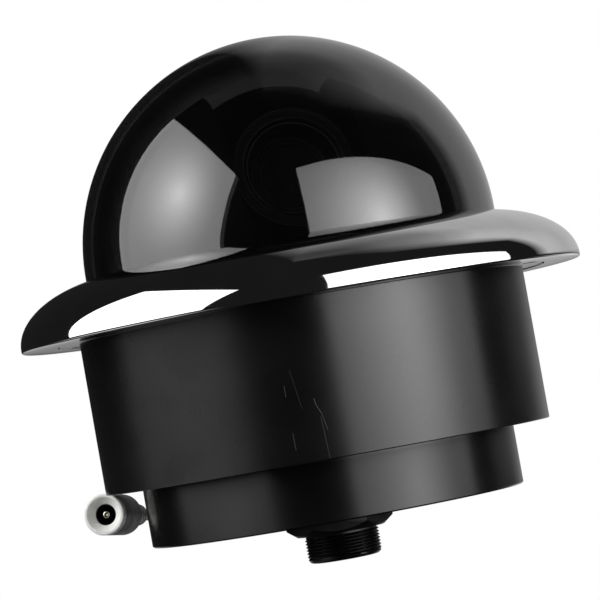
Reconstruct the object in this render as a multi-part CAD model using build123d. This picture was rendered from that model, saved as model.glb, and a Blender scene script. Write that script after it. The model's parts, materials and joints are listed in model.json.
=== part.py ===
import os
from math import acos, cos, degrees, hypot, pi, radians, sin, sqrt, tan

from build123d import *

os.makedirs("parts", exist_ok=True)

# Dome, clamped by its flange. The panel seat is the plane at zero height.
dome_radius = 58.7
dome_wall = 3.0
dome_flange_reach = 4.5
dome_flange = 2.5
gasket_thick = 0.8
gasket_inset = 0.2
drum_top = 11.5
pocket_gap = 0.4
lip_gap = 0.5
lip_cover = 1.45
dome_rise = 3.4
dome_inner = dome_radius - dome_wall
dome_flange_radius = dome_radius + dome_flange_reach
pocket_radius = dome_flange_radius + pocket_gap
flange_top = drum_top + dome_flange
lip_underside = flange_top + gasket_thick
dome_centre = lip_underside + dome_rise
lip_radius = dome_radius + lip_gap

# Pan drive, from the turntable down. It sets how deep the drum is.
turntable_top = -1.0
turntable_thick = 3.0
turntable_gap = 7.7
gear_thick = 4.0
gear_bore_gap = 0.5
chassis_room = 1.5
chassis_plate_thick = 2.5
hub_length = 16.0
hub_spigot_radius = 11.0
hub_radius = 14.0
hub_flange_radius = 20.0
hub_bore = 7.0
hub_screw_circle = 17.0
bush_length = 6.5
bush_flange_radius = 10.0
bush_flange = 1.0
spindle_radius = 5.0
spindle_bore = 3.0
spindle_tail = 3.0
spindle_flange_radius = 14.0
running_gap = 0.05
circlip_thick = 0.8
circlip_radius = 7.5
circlip_root = 4.4
circlip_play = 0.2
circlip_mouth = 3.2
pan_module = 0.8
wheel_teeth = 80
pinion_teeth = 16
pressure_angle = 20.0
backlash = 0.16
pan_pinion_height = 3.4
gear_screw_circle = 24.0
spindle_screw_circle = 10.0
pan_motor_radius = 12.5
pan_motor_length = 18.0
pan_shaft_radius = 1.5
motor_boss_radius = 4.0
motor_boss = 1.5
motor_boss_gap = 0.3
motor_ear_reach = 17.5
motor_ear_radius = 3.5
motor_ear = 2.5
shaft_end_gap = 0.5
turntable_radius = dome_inner - turntable_gap
turntable_low = turntable_top - turntable_thick
wheel_low = turntable_low - gear_thick
chassis_top = wheel_low - chassis_room
chassis_low = chassis_top - chassis_plate_thick
hub_bottom = chassis_low - hub_length
spindle_end = hub_bottom - spindle_tail

# Slip ring under the hub.
slip_radius = 14.0
slip_height = 16.0
slip_cavity_radius = 10.6
slip_cavity_gap = 1.0
slip_floor = 1.0
slip_rotor_radius = 4.5
slip_rotor_gap = 0.4
slip_rotor_clear = 2.0
slip_plug = 4.0
slip_screw_circle = 12.3
slip_screw_bite = 4.0
slip_drop = 0.95
slip_bottom = hub_bottom - slip_height
slip_cavity_floor = spindle_end - slip_cavity_gap
slip_rotor_end = slip_bottom + slip_rotor_clear

# Upper drum, the spigot behind the panel, and the trim ring round its flange.
drum_step = 0.3
drum_wall = 3.0
drum_floor = 3.0
drum_flange_reach = 6.0
drum_flange = 11.2
flange_clamp = 5.0
flange_gap = 0.3
seat_width = 10.2
seal_inset = 1.0
seal_width = 1.2
seal_depth = 1.1
edge_break = 0.3
trim_edge = 1.0
trim_curve_inset = 6.7
trim_screw_inset = 3.0
trim_screw_count = 8
trim_screw_bite = 2.2
drum_radius = dome_flange_radius + drum_step
drum_inner = drum_radius - drum_wall
drum_bottom = slip_bottom + slip_drop
floor_top = drum_bottom + drum_floor
drum_flange_radius = drum_radius + drum_flange_reach
flange_bore = drum_flange_radius + flange_gap
trim_radius = flange_bore + seat_width
trim_curve_centre = dome_radius - trim_curve_inset
trim_curve_height = lip_underside + lip_cover
trim_screw_circle = drum_radius + trim_screw_inset
seal_outer = drum_radius - seal_inset
seal_inner = seal_outer - seal_width

# Chassis plate on pillars.
chassis_gap = 3.5
pillar_inset = 5.0
pillar_radius = 3.5
pillar_count = 4
stud_length = 2.4
chassis_screw_length = 8.0
chassis_radius = drum_inner - chassis_gap
pillar_circle = chassis_radius - pillar_inset

# Rear cover, the smaller drum.
cover_step = 10.4
cover_depth = 16.8
cover_wall = 2.5
cover_floor = 3.0
cover_edge = 0.4
post_inset = 5.1
post_radius = 4.0
post_count = 4
opening_gap = 3.5
cover_radius = drum_radius - cover_step
cover_inner = cover_radius - cover_wall
cover_bottom = drum_bottom - cover_depth
cover_deck = cover_bottom + cover_floor
post_circle = cover_inner - post_inset
drum_opening = post_circle - post_radius - opening_gap

# Threaded nipple and its locknut.
nipple_radius = 10.65
nipple_bore = 7.5
nipple_reach = 12.4
nipple_round = 1.8
nipple_flange_radius = 14.0
nipple_flange = 3.0
nipple_washer = 1.0
runout_width = 0.5
runout_depth = 0.5
nut_rim = 4.6
nut_height = 4.5
nut_turn = -9.7
nut_bevel_inset = 2.8
nut_bevel_drop = 2.2
nut_bevel_slope = 1.3
nut_corner_radius = nipple_radius + nut_rim
nipple_end = cover_bottom - nipple_reach

# Fixings.
m2_radius = 1.0
m25_radius = 1.25
m3_radius = 1.5
screw_gap = 0.1
head_ratio = 1.85
head_height_ratio = 1.1
socket_ratio = 0.75
short_screw = 6.0
drive_screw_bite = 2.3

# Camera head: a ball with flat cheeks between the yoke arms.
head_room = 24.7
head_clear = 2.0
head_wall = 2.0
cheek_inset = 8.0
head_split = -6.0
head_boss_inset = 7.5
head_boss_radius = 3.0
head_boss_front = -14.0
head_boss_sink = 0.0904
head_screw_seat = 4.0
tilt_rest = 10.0
head_radius = dome_inner - head_room
head_inner = head_radius - head_wall
head_half_width = head_radius - cheek_inset
cheek_inner = head_half_width - head_wall
head_boss_height = head_radius - head_boss_inset
head_boss_top = head_boss_height + head_boss_radius
head_boss_back = sqrt((head_inner + head_boss_sink) ** 2 - head_boss_top**2)
tilt_height = turntable_top + head_radius + head_clear

# Lens group, scaled to the head.
bezel_ratio = 0.545
bezel_lip = 1.3
bezel_depth = 2.2
bezel_rim = 3.0
bezel_flare = 1.2
bezel_flare_depth = 1.4
bezel_break = 0.6
opening_clear = 0.4
barrel_inset = 4.0
barrel_wall = 2.3
barrel_back = -4.0
front_glass_inset = 3.2
front_glass_edge = 1.6
front_glass_bulge = 1.3
baffle_inset = 7.5
baffle_thick = 1.2
baffle_share = 0.601354
inner_glass_edge = 1.4
inner_glass_rim = 1.2
inner_glass_bulge = 1.0
glass_gap = 0.1
bezel_radius = bezel_ratio * head_radius
bezel_mouth = bezel_radius - bezel_rim
bezel_throat = bezel_mouth - bezel_flare
head_opening = bezel_radius + opening_clear
barrel_radius = bezel_radius - bezel_lip
barrel_bore = barrel_radius - barrel_wall
barrel_front = barrel_inset - head_radius
bezel_front = barrel_front - bezel_depth
front_glass_back = barrel_front + front_glass_inset
baffle_front = barrel_front + baffle_inset
baffle_throat = baffle_share * barrel_bore

# Sensor block and camera board, scaled to the width between the cheeks.
board_share = 16 / 21
hole_share = 13.4 / 21
block_share = 11 / 21
block_back = 6.0
block_plate = 2.0
camera_board_thick = 1.6
camera_post_radius = 2.6
camera_screw_bite = 4.4
camera_board_half = board_share * cheek_inner
camera_hole_reach = hole_share * cheek_inner
block_half = block_share * cheek_inner

# Tilt yoke. The gear's module comes from the head, so that its motor clears the turntable.
arm_gap = 4.0
arm_thick = 3.0
arm_top_radius = 9.0
arm_foot_length = 10.0
arm_foot_thick = 2.5
arm_half_width = 12.0
foot_screw_spread = 7.5
head_modules = 62
tilt_gear_thick = 3.0
tilt_motor_radius = 10.0
tilt_motor_gap = 0.5
tilt_motor_rim = 2.0
tilt_shaft_radius = 1.0
tilt_motor_bearing = -45.0
tilt_pinion_gap = 0.6
tilt_pinion_width = 2.9
tilt_ear_reach = 13.2
tilt_ear_radius = 2.6
axle_radius = 3.0
axle_flange_radius = 6.8
axle_flange = 1.5
axle_overrun = 0.8
spacer_rim = 0.6
tilt_bush_radius = 4.6
tilt_bush_flange_radius = 6.0
tilt_bush_flange = 0.6
axle_screw_circle = 4.9
axle_screw_radius = 0.8
axle_screw_length = 5.0
head_sink = 0.2
tilt_module = head_radius / head_modules
arm_inner = head_half_width + arm_gap
arm_outer = arm_inner + arm_thick
arm_foot_inner = arm_inner - arm_foot_length

# Liner, the dark shroud round the head. It stands on the turntable's rim.
liner_wall = 1.2
slot_clear = 1.5
liner_radius = turntable_radius
liner_inner = liner_radius - liner_wall
slot_half = bezel_radius + slot_clear

# Main board in the rear cover.
board_gap = 3.5
board_thick = 1.6
standoff_height = 8.1
standoff_inset = 5.0
standoff_radius = 2.6
standoff_count = 4
standoff_stud = 1.9
board_screw_bite = 4.5
chip_inset = 10.0
chip_half = 6.0
chip_height = 1.6
chip_count = 3
can_inset = 9.0
can_radius = 3.2
can_height = 7.5
can_count = 3
board_radius = post_circle - post_radius - board_gap
board_bottom = cover_deck + standoff_height
board_top = board_bottom + board_thick
standoff_circle = board_radius - standoff_inset

# Power pigtail.
cord_radius = 1.75
cord_drop = 8.5
cord_lead = 14.0
cord_tail = 22.0
cord_sag = 1.0
loop_ratios = ((0.19, 1.362), (-0.032, 1.48), (-0.378, 1.417))
exit_bearing = 76.0
boot_boss_radius = 8.0
boot_boss_reach = 2.0
boot_neck_overrun = 1.6
boot_neck_radius = 4.0
boot_flange_radius = 6.5
boot_flange = 2.0
boot_shoulder_radius = 4.6
boot_mouth_radius = 2.7
boot_length = 5.9
jack_overhang = 2.9
jack_bearing = 163.4
jack_drop = 5.35
jack_heading = 69.5
jack_dip = 4.0
jack_radius = 5.95
jack_rim = 1.0
jack_bore_radius = 2.83
jack_collar = 2.8
jack_collar_round = 0.4
jack_funnel = 2.0
jack_barrel = 18.5
jack_bore_depth = 9.5
jack_shoulder = 1.4
jack_pin_radius = 1.05
jack_pin_sink = 2.5
jack_pin_round = 0.4
relief_length = 16.0
relief_front_radius = 4.5
relief_back_radius = 3.2
relief_rib_count = 4
relief_rib_depth = 0.35
relief_rib_width = 0.8
cord_height = drum_bottom - cord_drop
boot_seat = cover_radius + boot_boss_reach
boot_inner_end = cover_inner - boot_neck_overrun
boot_mouth = boot_seat + boot_length
jack_reach = drum_radius + jack_overhang
jack_height = drum_bottom - jack_drop
jack_mouth_radius = jack_radius - jack_rim

FROM_LOW = (Align.CENTER, Align.CENTER, Align.MIN)


def rod(radius, low, high):
    return Pos(0, 0, low) * Cylinder(radius, high - low, align=FROM_LOW)


def ring(outer, inner, low, high):
    return rod(outer, low, high) - rod(inner, low, high)


def cone(low_radius, high_radius, low, high):
    return Pos(0, 0, low) * Cone(low_radius, high_radius, high - low, align=FROM_LOW)


def turned(outline):
    return revolve(Plane.XZ * make_face(outline), Axis.Z)


def block(x_low, x_high, y_low, y_high, z_low, z_high):
    size = Box(x_high - x_low, y_high - y_low, z_high - z_low)
    return Pos((x_low + x_high) / 2, (y_low + y_high) / 2, (z_low + z_high) / 2) * size


def around(radius, count, start):
    return [Rot(0, 0, start + 360 / count * step) * Pos(radius, 0, 0) for step in range(count)]


def cap_screw(radius, length):
    head = head_height_ratio * radius
    socket = extrude(RegularPolygon(socket_ratio * radius, 6), 0.6 * head)
    body = rod(head_ratio * radius, 0, head) + rod(radius, -length, 0)
    return body - Pos(0, 0, 0.4 * head) * socket


def bulged_disc(radius, low, edge, bulge):
    sphere_radius = (radius**2 + bulge**2) / (2 * bulge)
    cap = Pos(0, 0, low + edge + bulge - sphere_radius) * Sphere(sphere_radius)
    return rod(radius, low, low + edge + bulge) & cap


def gear_face(teeth, module):
    pitch = teeth * module / 2
    base = pitch * cos(radians(pressure_angle))
    tip = pitch + 0.95 * module
    root = pitch - 1.25 * module
    start = max(root, base)
    lead = tan(radians(pressure_angle)) - radians(pressure_angle)
    half = pi / (2 * teeth) - backlash / (4 * pitch) + lead
    flank = []
    for reach in (start, pitch, tip):
        lean = acos(base / reach)
        flank.append((reach, half - (tan(lean) - lean)))
    if root < base:
        flank.insert(0, (root, flank[0][1]))
    points = []
    for tooth in range(teeth):
        middle = 2 * pi * tooth / teeth
        for reach, spread in flank:
            points.append((reach * cos(middle - spread), reach * sin(middle - spread)))
        for reach, spread in reversed(flank):
            points.append((reach * cos(middle + spread), reach * sin(middle + spread)))
    return make_face(Polyline(*points, close=True))


def save(node, *solids):
    shape = solids[0] if len(solids) == 1 else Compound(children=list(solids))
    export_step(shape, f"parts/{node}.step")


# Trim ring: a quarter-ellipse section over a stepped bore.
curve_span = trim_radius - trim_curve_centre
curve = EllipticalCenterArc(
    (trim_curve_centre, trim_edge),
    curve_span,
    trim_curve_height,
    start_angle=0,
    arc_size=degrees(acos((lip_radius - trim_curve_centre) / curve_span)),
)
rest_of_trim = Polyline(
    curve @ 1,
    (lip_radius, lip_underside),
    (pocket_radius, lip_underside),
    (pocket_radius, drum_top),
    (flange_bore, drum_top),
    (flange_bore, 0),
    (trim_radius - edge_break, 0),
    (trim_radius, edge_break),
    curve @ 0,
)
trim_ring = turned(curve + rest_of_trim)
trim_hole = rod(m25_radius + screw_gap, drum_top, drum_top + trim_screw_bite + screw_gap)
trim_screw_places = around(trim_screw_circle, trim_screw_count, 180 / trim_screw_count)
for place in trim_screw_places:
    trim_ring -= place * trim_hole
save("trim_ring", trim_ring)

# Dome bubble: a hemisphere on a short skirt with a clamped flange.
outer_arc = CenterArc((0, dome_centre), dome_radius, 0, 90)
inner_arc = CenterArc((0, dome_centre), dome_inner, 0, 90)
skirt = Polyline(
    inner_arc @ 0,
    (dome_inner, drum_top),
    (dome_flange_radius, drum_top),
    (dome_flange_radius, flange_top),
    (dome_radius, flange_top),
    outer_arc @ 0,
)
save("dome_bubble", turned(outer_arc + Line(outer_arc @ 1, inner_arc @ 1) + inner_arc + skirt))
gasket_inner = lip_radius + gasket_inset
gasket_outer = dome_flange_radius - gasket_inset
save("dome_gasket", ring(gasket_outer, gasket_inner, flange_top, lip_underside))

# Upper drum with its clamping flange.
drum = rod(drum_radius, drum_bottom, drum_top)
drum = chamfer(drum.edges().group_by(Axis.Z)[0], edge_break)
flange_low = drum_top - drum_flange
drum += rod(drum_flange_radius, flange_low, drum_top)
drum -= rod(drum_inner, floor_top, drum_top)
drum -= rod(drum_opening, drum_bottom, floor_top)
drum -= ring(seal_outer, seal_inner, drum_top - seal_depth, drum_top)
clamp_low = drum_top - flange_clamp
flange_hole = rod(m25_radius + screw_gap, clamp_low, drum_top)
flange_hole += rod(head_ratio * m25_radius + screw_gap, flange_low, clamp_low)
for place in trim_screw_places:
    drum -= place * flange_hole
floor_hole = rod(m3_radius + screw_gap, drum_bottom, floor_top)
for place in around(post_circle, post_count, 0):
    drum -= place * floor_hole
stud_hole = rod(m25_radius + screw_gap, floor_top - stud_length - screw_gap, floor_top)
for place in around(pillar_circle, pillar_count, 45):
    drum -= place * stud_hole
save("upper_drum", drum)
save("drum_seal", ring(seal_outer, seal_inner, drum_top - seal_depth, drum_top))
trim_screw = Pos(0, 0, clamp_low) * Rot(180, 0, 0)
trim_screw = trim_screw * cap_screw(m25_radius, flange_clamp + trim_screw_bite)
save("trim_screws", *[place * trim_screw for place in trim_screw_places])

# Rear cover: a cup with screw posts, a nipple hole and a boss for the cord.
cover = rod(cover_radius, cover_bottom, drum_bottom)
cover = chamfer(cover.edges().group_by(Axis.Z)[0], cover_edge)
cover -= rod(cover_inner, cover_deck, drum_bottom)
exit_plane = Plane(
    origin=(0, 0, cord_height),
    x_dir=(0, 0, 1),
    z_dir=(cos(radians(exit_bearing)), sin(radians(exit_bearing)), 0),
)
cover += exit_plane * rod(boot_boss_radius, cover_radius - 0.8 * cover_wall, boot_seat)
cover -= exit_plane * rod(boot_neck_radius + screw_gap, post_circle, boot_seat)
cover_head_depth = head_height_ratio * m3_radius + screw_gap
for place in around(post_circle, post_count, 0):
    cover += place * rod(post_radius, cover_deck, drum_bottom)
for place in around(post_circle, post_count, 0):
    cover -= place * rod(m3_radius + screw_gap, cover_bottom, drum_bottom)
    counterbore = rod(head_ratio * m3_radius + screw_gap, cover_bottom, cover_bottom + cover_head_depth)
    cover -= place * counterbore
cover -= rod(nipple_radius + screw_gap, cover_bottom, cover_deck)
standoff_hole = rod(m2_radius + screw_gap, cover_deck - standoff_stud - screw_gap, cover_deck)
for place in around(standoff_circle, standoff_count, 45):
    cover -= place * standoff_hole
save("rear_cover", cover)
cover_screw_seat = cover_bottom + cover_head_depth
cover_screw = Rot(180, 0, 0) * cap_screw(m3_radius, floor_top - cover_screw_seat)
cover_screw = Pos(0, 0, cover_screw_seat) * cover_screw
save("rear_cover_screws", *[place * cover_screw for place in around(post_circle, post_count, 0)])

# Threaded nipple, its washer and the hex locknut.
nut_bottom = cover_bottom - nut_height
nipple_seat = cover_deck + nipple_washer
nipple = rod(nipple_radius, nipple_end, nipple_seat)
nipple = fillet(nipple.edges().group_by(Axis.Z)[0], nipple_round)
nipple += rod(nipple_flange_radius, nipple_seat, nipple_seat + nipple_flange)
runout_low = nut_bottom - runout_width
nipple -= ring(nipple_radius + 1, nipple_radius - runout_depth, runout_low, nut_bottom)
nipple -= rod(nipple_bore, nipple_end, nipple_seat + nipple_flange)
save("threaded_nipple", nipple)
washer_inner = nipple_radius + screw_gap
save("nipple_washer", ring(nipple_flange_radius, washer_inner, cover_deck, nipple_seat))
nut = extrude(RegularPolygon(nut_corner_radius, 6), nut_height)
bevel_radius = nut_corner_radius - nut_bevel_inset
bevel_top = bevel_radius + nut_bevel_drop * nut_bevel_slope
bevel = cone(bevel_radius, bevel_top, 0, nut_bevel_drop)
bevel += rod(nut_corner_radius + nut_bevel_inset, nut_bevel_drop, nut_height)
nut = (nut & bevel) - rod(nipple_radius + screw_gap, 0, nut_height)
save("hex_locknut", Pos(0, 0, nut_bottom) * Rot(0, 0, nut_turn) * nut)

# Chassis plate on four pillars.
wheel_pitch = wheel_teeth * pan_module / 2
pinion_pitch = pinion_teeth * pan_module / 2
pan_motor_reach = wheel_pitch + pinion_pitch
chassis = rod(chassis_radius, chassis_low, chassis_top)
chassis -= rod(hub_spigot_radius + screw_gap, chassis_low, chassis_top)
plate_hole = rod(m25_radius + screw_gap, chassis_low, chassis_top)
for place in around(pillar_circle, pillar_count, 45):
    chassis -= place * plate_hole
for place in around(hub_screw_circle, 4, 45):
    chassis -= place * plate_hole
motor_place = Pos(0, pan_motor_reach, 0)
chassis -= motor_place * rod(motor_boss_radius + motor_boss_gap, chassis_low, chassis_top)
for side in (-1, 1):
    chassis -= motor_place * Pos(side * motor_ear_reach, 0, 0) * plate_hole
save("chassis_plate", chassis)
pillar = rod(pillar_radius, floor_top, chassis_low)
pillar += rod(m25_radius, floor_top - stud_length, floor_top)
pillar -= rod(m25_radius + screw_gap, chassis_low - chassis_screw_length, chassis_low)
save("chassis_pillars", *[place * pillar for place in around(pillar_circle, pillar_count, 45)])
chassis_screw = Pos(0, 0, chassis_top) * cap_screw(m25_radius, chassis_screw_length)
save("chassis_screws", *[place * chassis_screw for place in around(pillar_circle, pillar_count, 45)])

# Bearing hub with two flanged bushes.
hub = rod(hub_radius, hub_bottom, chassis_low) + rod(hub_spigot_radius, chassis_low, chassis_top)
hub_flange_low = chassis_low - motor_ear
hub += rod(hub_flange_radius, hub_flange_low, chassis_low)
hub -= rod(hub_bore, hub_bottom, chassis_top)
for place in around(hub_screw_circle, 4, 45):
    hub -= place * rod(m25_radius + screw_gap, hub_flange_low, chassis_low)
slip_screw_hole = rod(m2_radius + screw_gap, hub_bottom, hub_bottom + slip_screw_bite + screw_gap)
for place in around(slip_screw_circle, 3, 0):
    hub -= place * slip_screw_hole
save("bearing_hub", hub)
bush_top = chassis_top + bush_flange
upper_bush = rod(hub_bore, chassis_top - bush_length, chassis_top)
upper_bush += rod(bush_flange_radius, chassis_top, bush_top)
bush_bottom = hub_bottom - bush_flange
lower_bush = rod(hub_bore, hub_bottom, hub_bottom + bush_length)
lower_bush += rod(bush_flange_radius, bush_bottom, hub_bottom)
bush_hole = rod(spindle_radius + running_gap, bush_bottom, bush_top)
save("pan_bushes", upper_bush - bush_hole, lower_bush - bush_hole)

# Spindle, turntable and pan gear turn together.
spindle = rod(spindle_radius, spindle_end, bush_top)
spindle += rod(spindle_flange_radius, bush_top, turntable_low)
clip_top = bush_bottom - circlip_play
clip_low = clip_top - circlip_thick
spindle -= ring(spindle_radius + 1, circlip_root, clip_low, clip_top)
spindle -= rod(spindle_bore, spindle_end, turntable_low)
tapped = rod(m25_radius + screw_gap, turntable_top - short_screw - screw_gap, turntable_low)
for place in around(spindle_screw_circle, 4, 0):
    spindle -= place * tapped
save("pan_spindle", spindle)
clip = ring(circlip_radius, circlip_root, clip_low, clip_top)
clip -= block(0, circlip_radius, -circlip_mouth / 2, circlip_mouth / 2, clip_low, clip_top)
save("spindle_circlip", clip)
turntable = ring(turntable_radius, spindle_bore, turntable_low, turntable_top)
turntable_hole = rod(m25_radius + screw_gap, turntable_low, turntable_top)
for place in around(spindle_screw_circle, 4, 0) + around(gear_screw_circle, 4, 45):
    turntable -= place * turntable_hole
foot_middle = (arm_foot_inner + arm_inner) / 2
foot_places = [
    Pos(side * foot_middle, spread, 0)
    for side in (-1, 1)
    for spread in (-foot_screw_spread, foot_screw_spread)
]
for place in foot_places:
    turntable -= place * rod(m2_radius + screw_gap, turntable_low, turntable_top)
save("pan_turntable", turntable)
wheel = Pos(0, 0, wheel_low) * extrude(gear_face(wheel_teeth, pan_module), gear_thick)
wheel -= rod(spindle_flange_radius + gear_bore_gap, wheel_low, turntable_low)
for place in around(gear_screw_circle, 4, 45):
    wheel -= place * tapped
save("pan_gear", wheel)
table_screw = Pos(0, 0, turntable_top) * cap_screw(m25_radius, short_screw)
table_places = around(spindle_screw_circle, 4, 0) + around(gear_screw_circle, 4, 45)
save("turntable_screws", *[place * table_screw for place in table_places])

# Pan motor behind the spindle, with its pinion under the turntable.
motor = rod(pan_motor_radius, chassis_low - pan_motor_length, chassis_low)
motor += rod(motor_boss_radius, chassis_low, chassis_low + motor_boss)
ear_low = chassis_low - motor_ear
for side in (-1, 1):
    motor += Pos(side * motor_ear_reach, 0, 0) * rod(motor_ear_radius, ear_low, chassis_low)
ear_depth = 2 * motor_ear_radius
motor += block(-motor_ear_reach, motor_ear_reach, -ear_depth / 2, ear_depth / 2, ear_low, chassis_low)
for side in (-1, 1):
    ear_hole = rod(m25_radius + screw_gap, ear_low, chassis_low)
    motor -= Pos(side * motor_ear_reach, 0, 0) * ear_hole
shaft_low = chassis_low - 0.75 * pan_motor_length
motor -= rod(pan_shaft_radius + running_gap, shaft_low - shaft_end_gap, chassis_low + motor_boss)
save("pan_motor", motor_place * motor)
drive_screw = Pos(0, 0, ear_low) * Rot(180, 0, 0) * cap_screw(m25_radius, motor_ear + drive_screw_bite)
drive_places = [motor_place * Pos(side * motor_ear_reach, 0, 0) for side in (-1, 1)]
drive_places += around(hub_screw_circle, 4, 45)
save("drive_screws", *[place * drive_screw for place in drive_places])
pinion = Rot(0, 0, 180 / pinion_teeth) * extrude(
    gear_face(pinion_teeth, pan_module), pan_pinion_height
)
pan_pinion = Pos(0, 0, wheel_low) * pinion
pan_pinion += rod(pan_shaft_radius, shaft_low, wheel_low + pan_pinion_height)
save("pan_pinion", motor_place * pan_pinion)

# Slip ring under the hub.
slip_body = rod(slip_radius, slip_bottom, hub_bottom)
slip_body -= rod(slip_cavity_radius, slip_cavity_floor, hub_bottom)
rotor_bore = slip_rotor_radius + slip_rotor_gap
slip_body -= rod(rotor_bore, slip_bottom + slip_floor, slip_cavity_floor)
for place in around(slip_screw_circle, 3, 0):
    slip_body -= place * rod(m2_radius + screw_gap, slip_bottom, hub_bottom)
save("slip_ring_body", slip_body)
slip_screw_length = hub_bottom - slip_bottom + slip_screw_bite
slip_screw = Pos(0, 0, slip_bottom) * Rot(180, 0, 0) * cap_screw(m2_radius, slip_screw_length)
save("slip_ring_screws", *[place * slip_screw for place in around(slip_screw_circle, 3, 0)])
rotor = rod(slip_rotor_radius, slip_rotor_end, spindle_end)
rotor += rod(spindle_bore - screw_gap, spindle_end, spindle_end + slip_plug)
save("slip_ring_rotor", rotor)

# Yoke arms on the turntable. The right arm also carries the tilt motor.
tilt_wheel_pitch = wheel_teeth * tilt_module / 2
tilt_pinion_pitch = pinion_teeth * tilt_module / 2
tilt_reach = tilt_wheel_pitch + tilt_pinion_pitch
motor_y = tilt_reach * cos(radians(tilt_motor_bearing))
motor_z = tilt_height + tilt_reach * sin(radians(tilt_motor_bearing))
motor_far = hypot(motor_y, motor_z - dome_centre) + tilt_motor_radius
tilt_motor_end = sqrt((liner_inner - tilt_motor_gap) ** 2 - motor_far**2)
tilt_motor_length = tilt_motor_end - arm_outer
foot_top = turntable_top + arm_foot_thick
arm_base = Pos(0, turntable_top + arm_foot_thick / 2) * Rectangle(2 * arm_half_width, arm_foot_thick)
arm_eye = Pos(0, tilt_height) * Circle(arm_top_radius)
plain_arm = make_hull((arm_base + arm_eye).edges())
motor_eye = Pos(motor_y, motor_z) * Circle(tilt_motor_radius + tilt_motor_rim)
motor_pad = make_hull((arm_base + motor_eye).edges())
bush_hole_outer = Plane.YZ * Pos(0, tilt_height, 0) * rod(tilt_bush_radius, 0, arm_outer)


def arm(outline, side):
    plate = extrude(Plane.YZ.offset(arm_inner) * outline, arm_thick)
    foot = block(arm_foot_inner, arm_outer, -arm_half_width, arm_half_width, turntable_top, foot_top)
    whole = plate + foot - bush_hole_outer
    for spread in (-foot_screw_spread, foot_screw_spread):
        foot_hole = rod(m2_radius + screw_gap, turntable_top, foot_top)
        whole -= Pos(foot_middle, spread, 0) * foot_hole
    return whole if side > 0 else mirror(whole, Plane.YZ)


right_arm = arm(plain_arm + motor_pad, 1)
motor_plane = Plane(origin=(0, motor_y, motor_z), x_dir=(0, 1, 0), z_dir=(1, 0, 0))
right_arm -= motor_plane * rod(motor_boss_radius + motor_boss_gap, arm_inner, arm_outer)
tilt_ear_turn = -45
for side in (-1, 1):
    ear_place = motor_plane * Rot(0, 0, tilt_ear_turn) * Pos(side * tilt_ear_reach, 0, 0)
    right_arm += ear_place * rod(tilt_ear_radius, arm_inner, arm_outer)
for side in (-1, 1):
    ear_place = motor_plane * Rot(0, 0, tilt_ear_turn) * Pos(side * tilt_ear_reach, 0, 0)
    right_arm -= ear_place * rod(m2_radius + screw_gap, arm_inner, arm_outer)
save("yoke_arm_right", right_arm)
save("yoke_arm_left", arm(plain_arm, -1))
yoke_screw = cap_screw(m2_radius, arm_foot_thick + turntable_thick)
foot_screws = [place * Pos(0, 0, foot_top) * yoke_screw for place in foot_places]

# Bushes in the arms for the tilt axles.
tilt_plane = Plane(origin=(0, 0, tilt_height), x_dir=(0, 1, 0), z_dir=(1, 0, 0))
tilt_bush = rod(tilt_bush_radius, arm_inner, arm_outer)
tilt_bush += rod(tilt_bush_flange_radius, arm_outer, arm_outer + tilt_bush_flange)
tilt_bush -= rod(axle_radius + running_gap, arm_inner, arm_outer + tilt_bush_flange)
right_bush = tilt_plane * tilt_bush
save("tilt_bushes", right_bush, mirror(right_bush, Plane.YZ))

# Tilt motor outside the right arm.
tilt_motor = rod(tilt_motor_radius, arm_outer, tilt_motor_end)
tilt_motor += rod(motor_boss_radius, arm_outer - motor_boss, arm_outer)
ear_high = arm_outer + motor_ear
ear_bar = block(
    -tilt_ear_reach, tilt_ear_reach, -tilt_ear_radius, tilt_ear_radius, arm_outer, ear_high
)
tilt_motor += ear_bar
for side in (-1, 1):
    tilt_motor += Pos(side * tilt_ear_reach, 0, 0) * rod(tilt_ear_radius, arm_outer, ear_high)
for side in (-1, 1):
    ear_hole = rod(m2_radius + screw_gap, arm_outer, ear_high)
    tilt_motor -= Pos(side * tilt_ear_reach, 0, 0) * ear_hole
tilt_shaft_end = arm_outer + 0.75 * tilt_motor_length
shaft_hole_end = tilt_shaft_end + shaft_end_gap
tilt_motor -= rod(tilt_shaft_radius + running_gap, arm_outer - motor_boss, shaft_hole_end)
tilt_motor_place = motor_plane * Rot(0, 0, tilt_ear_turn)
save("tilt_motor", tilt_motor_place * tilt_motor)
tilt_ear_places = [tilt_motor_place * Pos(side * tilt_ear_reach, 0, ear_high) for side in (-1, 1)]
tilt_ear_screws = [place * yoke_screw for place in tilt_ear_places]
save("yoke_screws", *foot_screws, *tilt_ear_screws)
small_pinion = Rot(0, 0, 180 / pinion_teeth) * extrude(
    gear_face(pinion_teeth, tilt_module), tilt_pinion_width
)
tilt_pinion_inner = head_half_width + tilt_pinion_gap
tilt_pinion = Pos(0, 0, tilt_pinion_inner) * small_pinion
tilt_pinion += rod(tilt_shaft_radius, tilt_pinion_inner, tilt_shaft_end)
save("tilt_pinion", motor_plane * Rot(0, 0, tilt_motor_bearing) * tilt_pinion)

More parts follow.
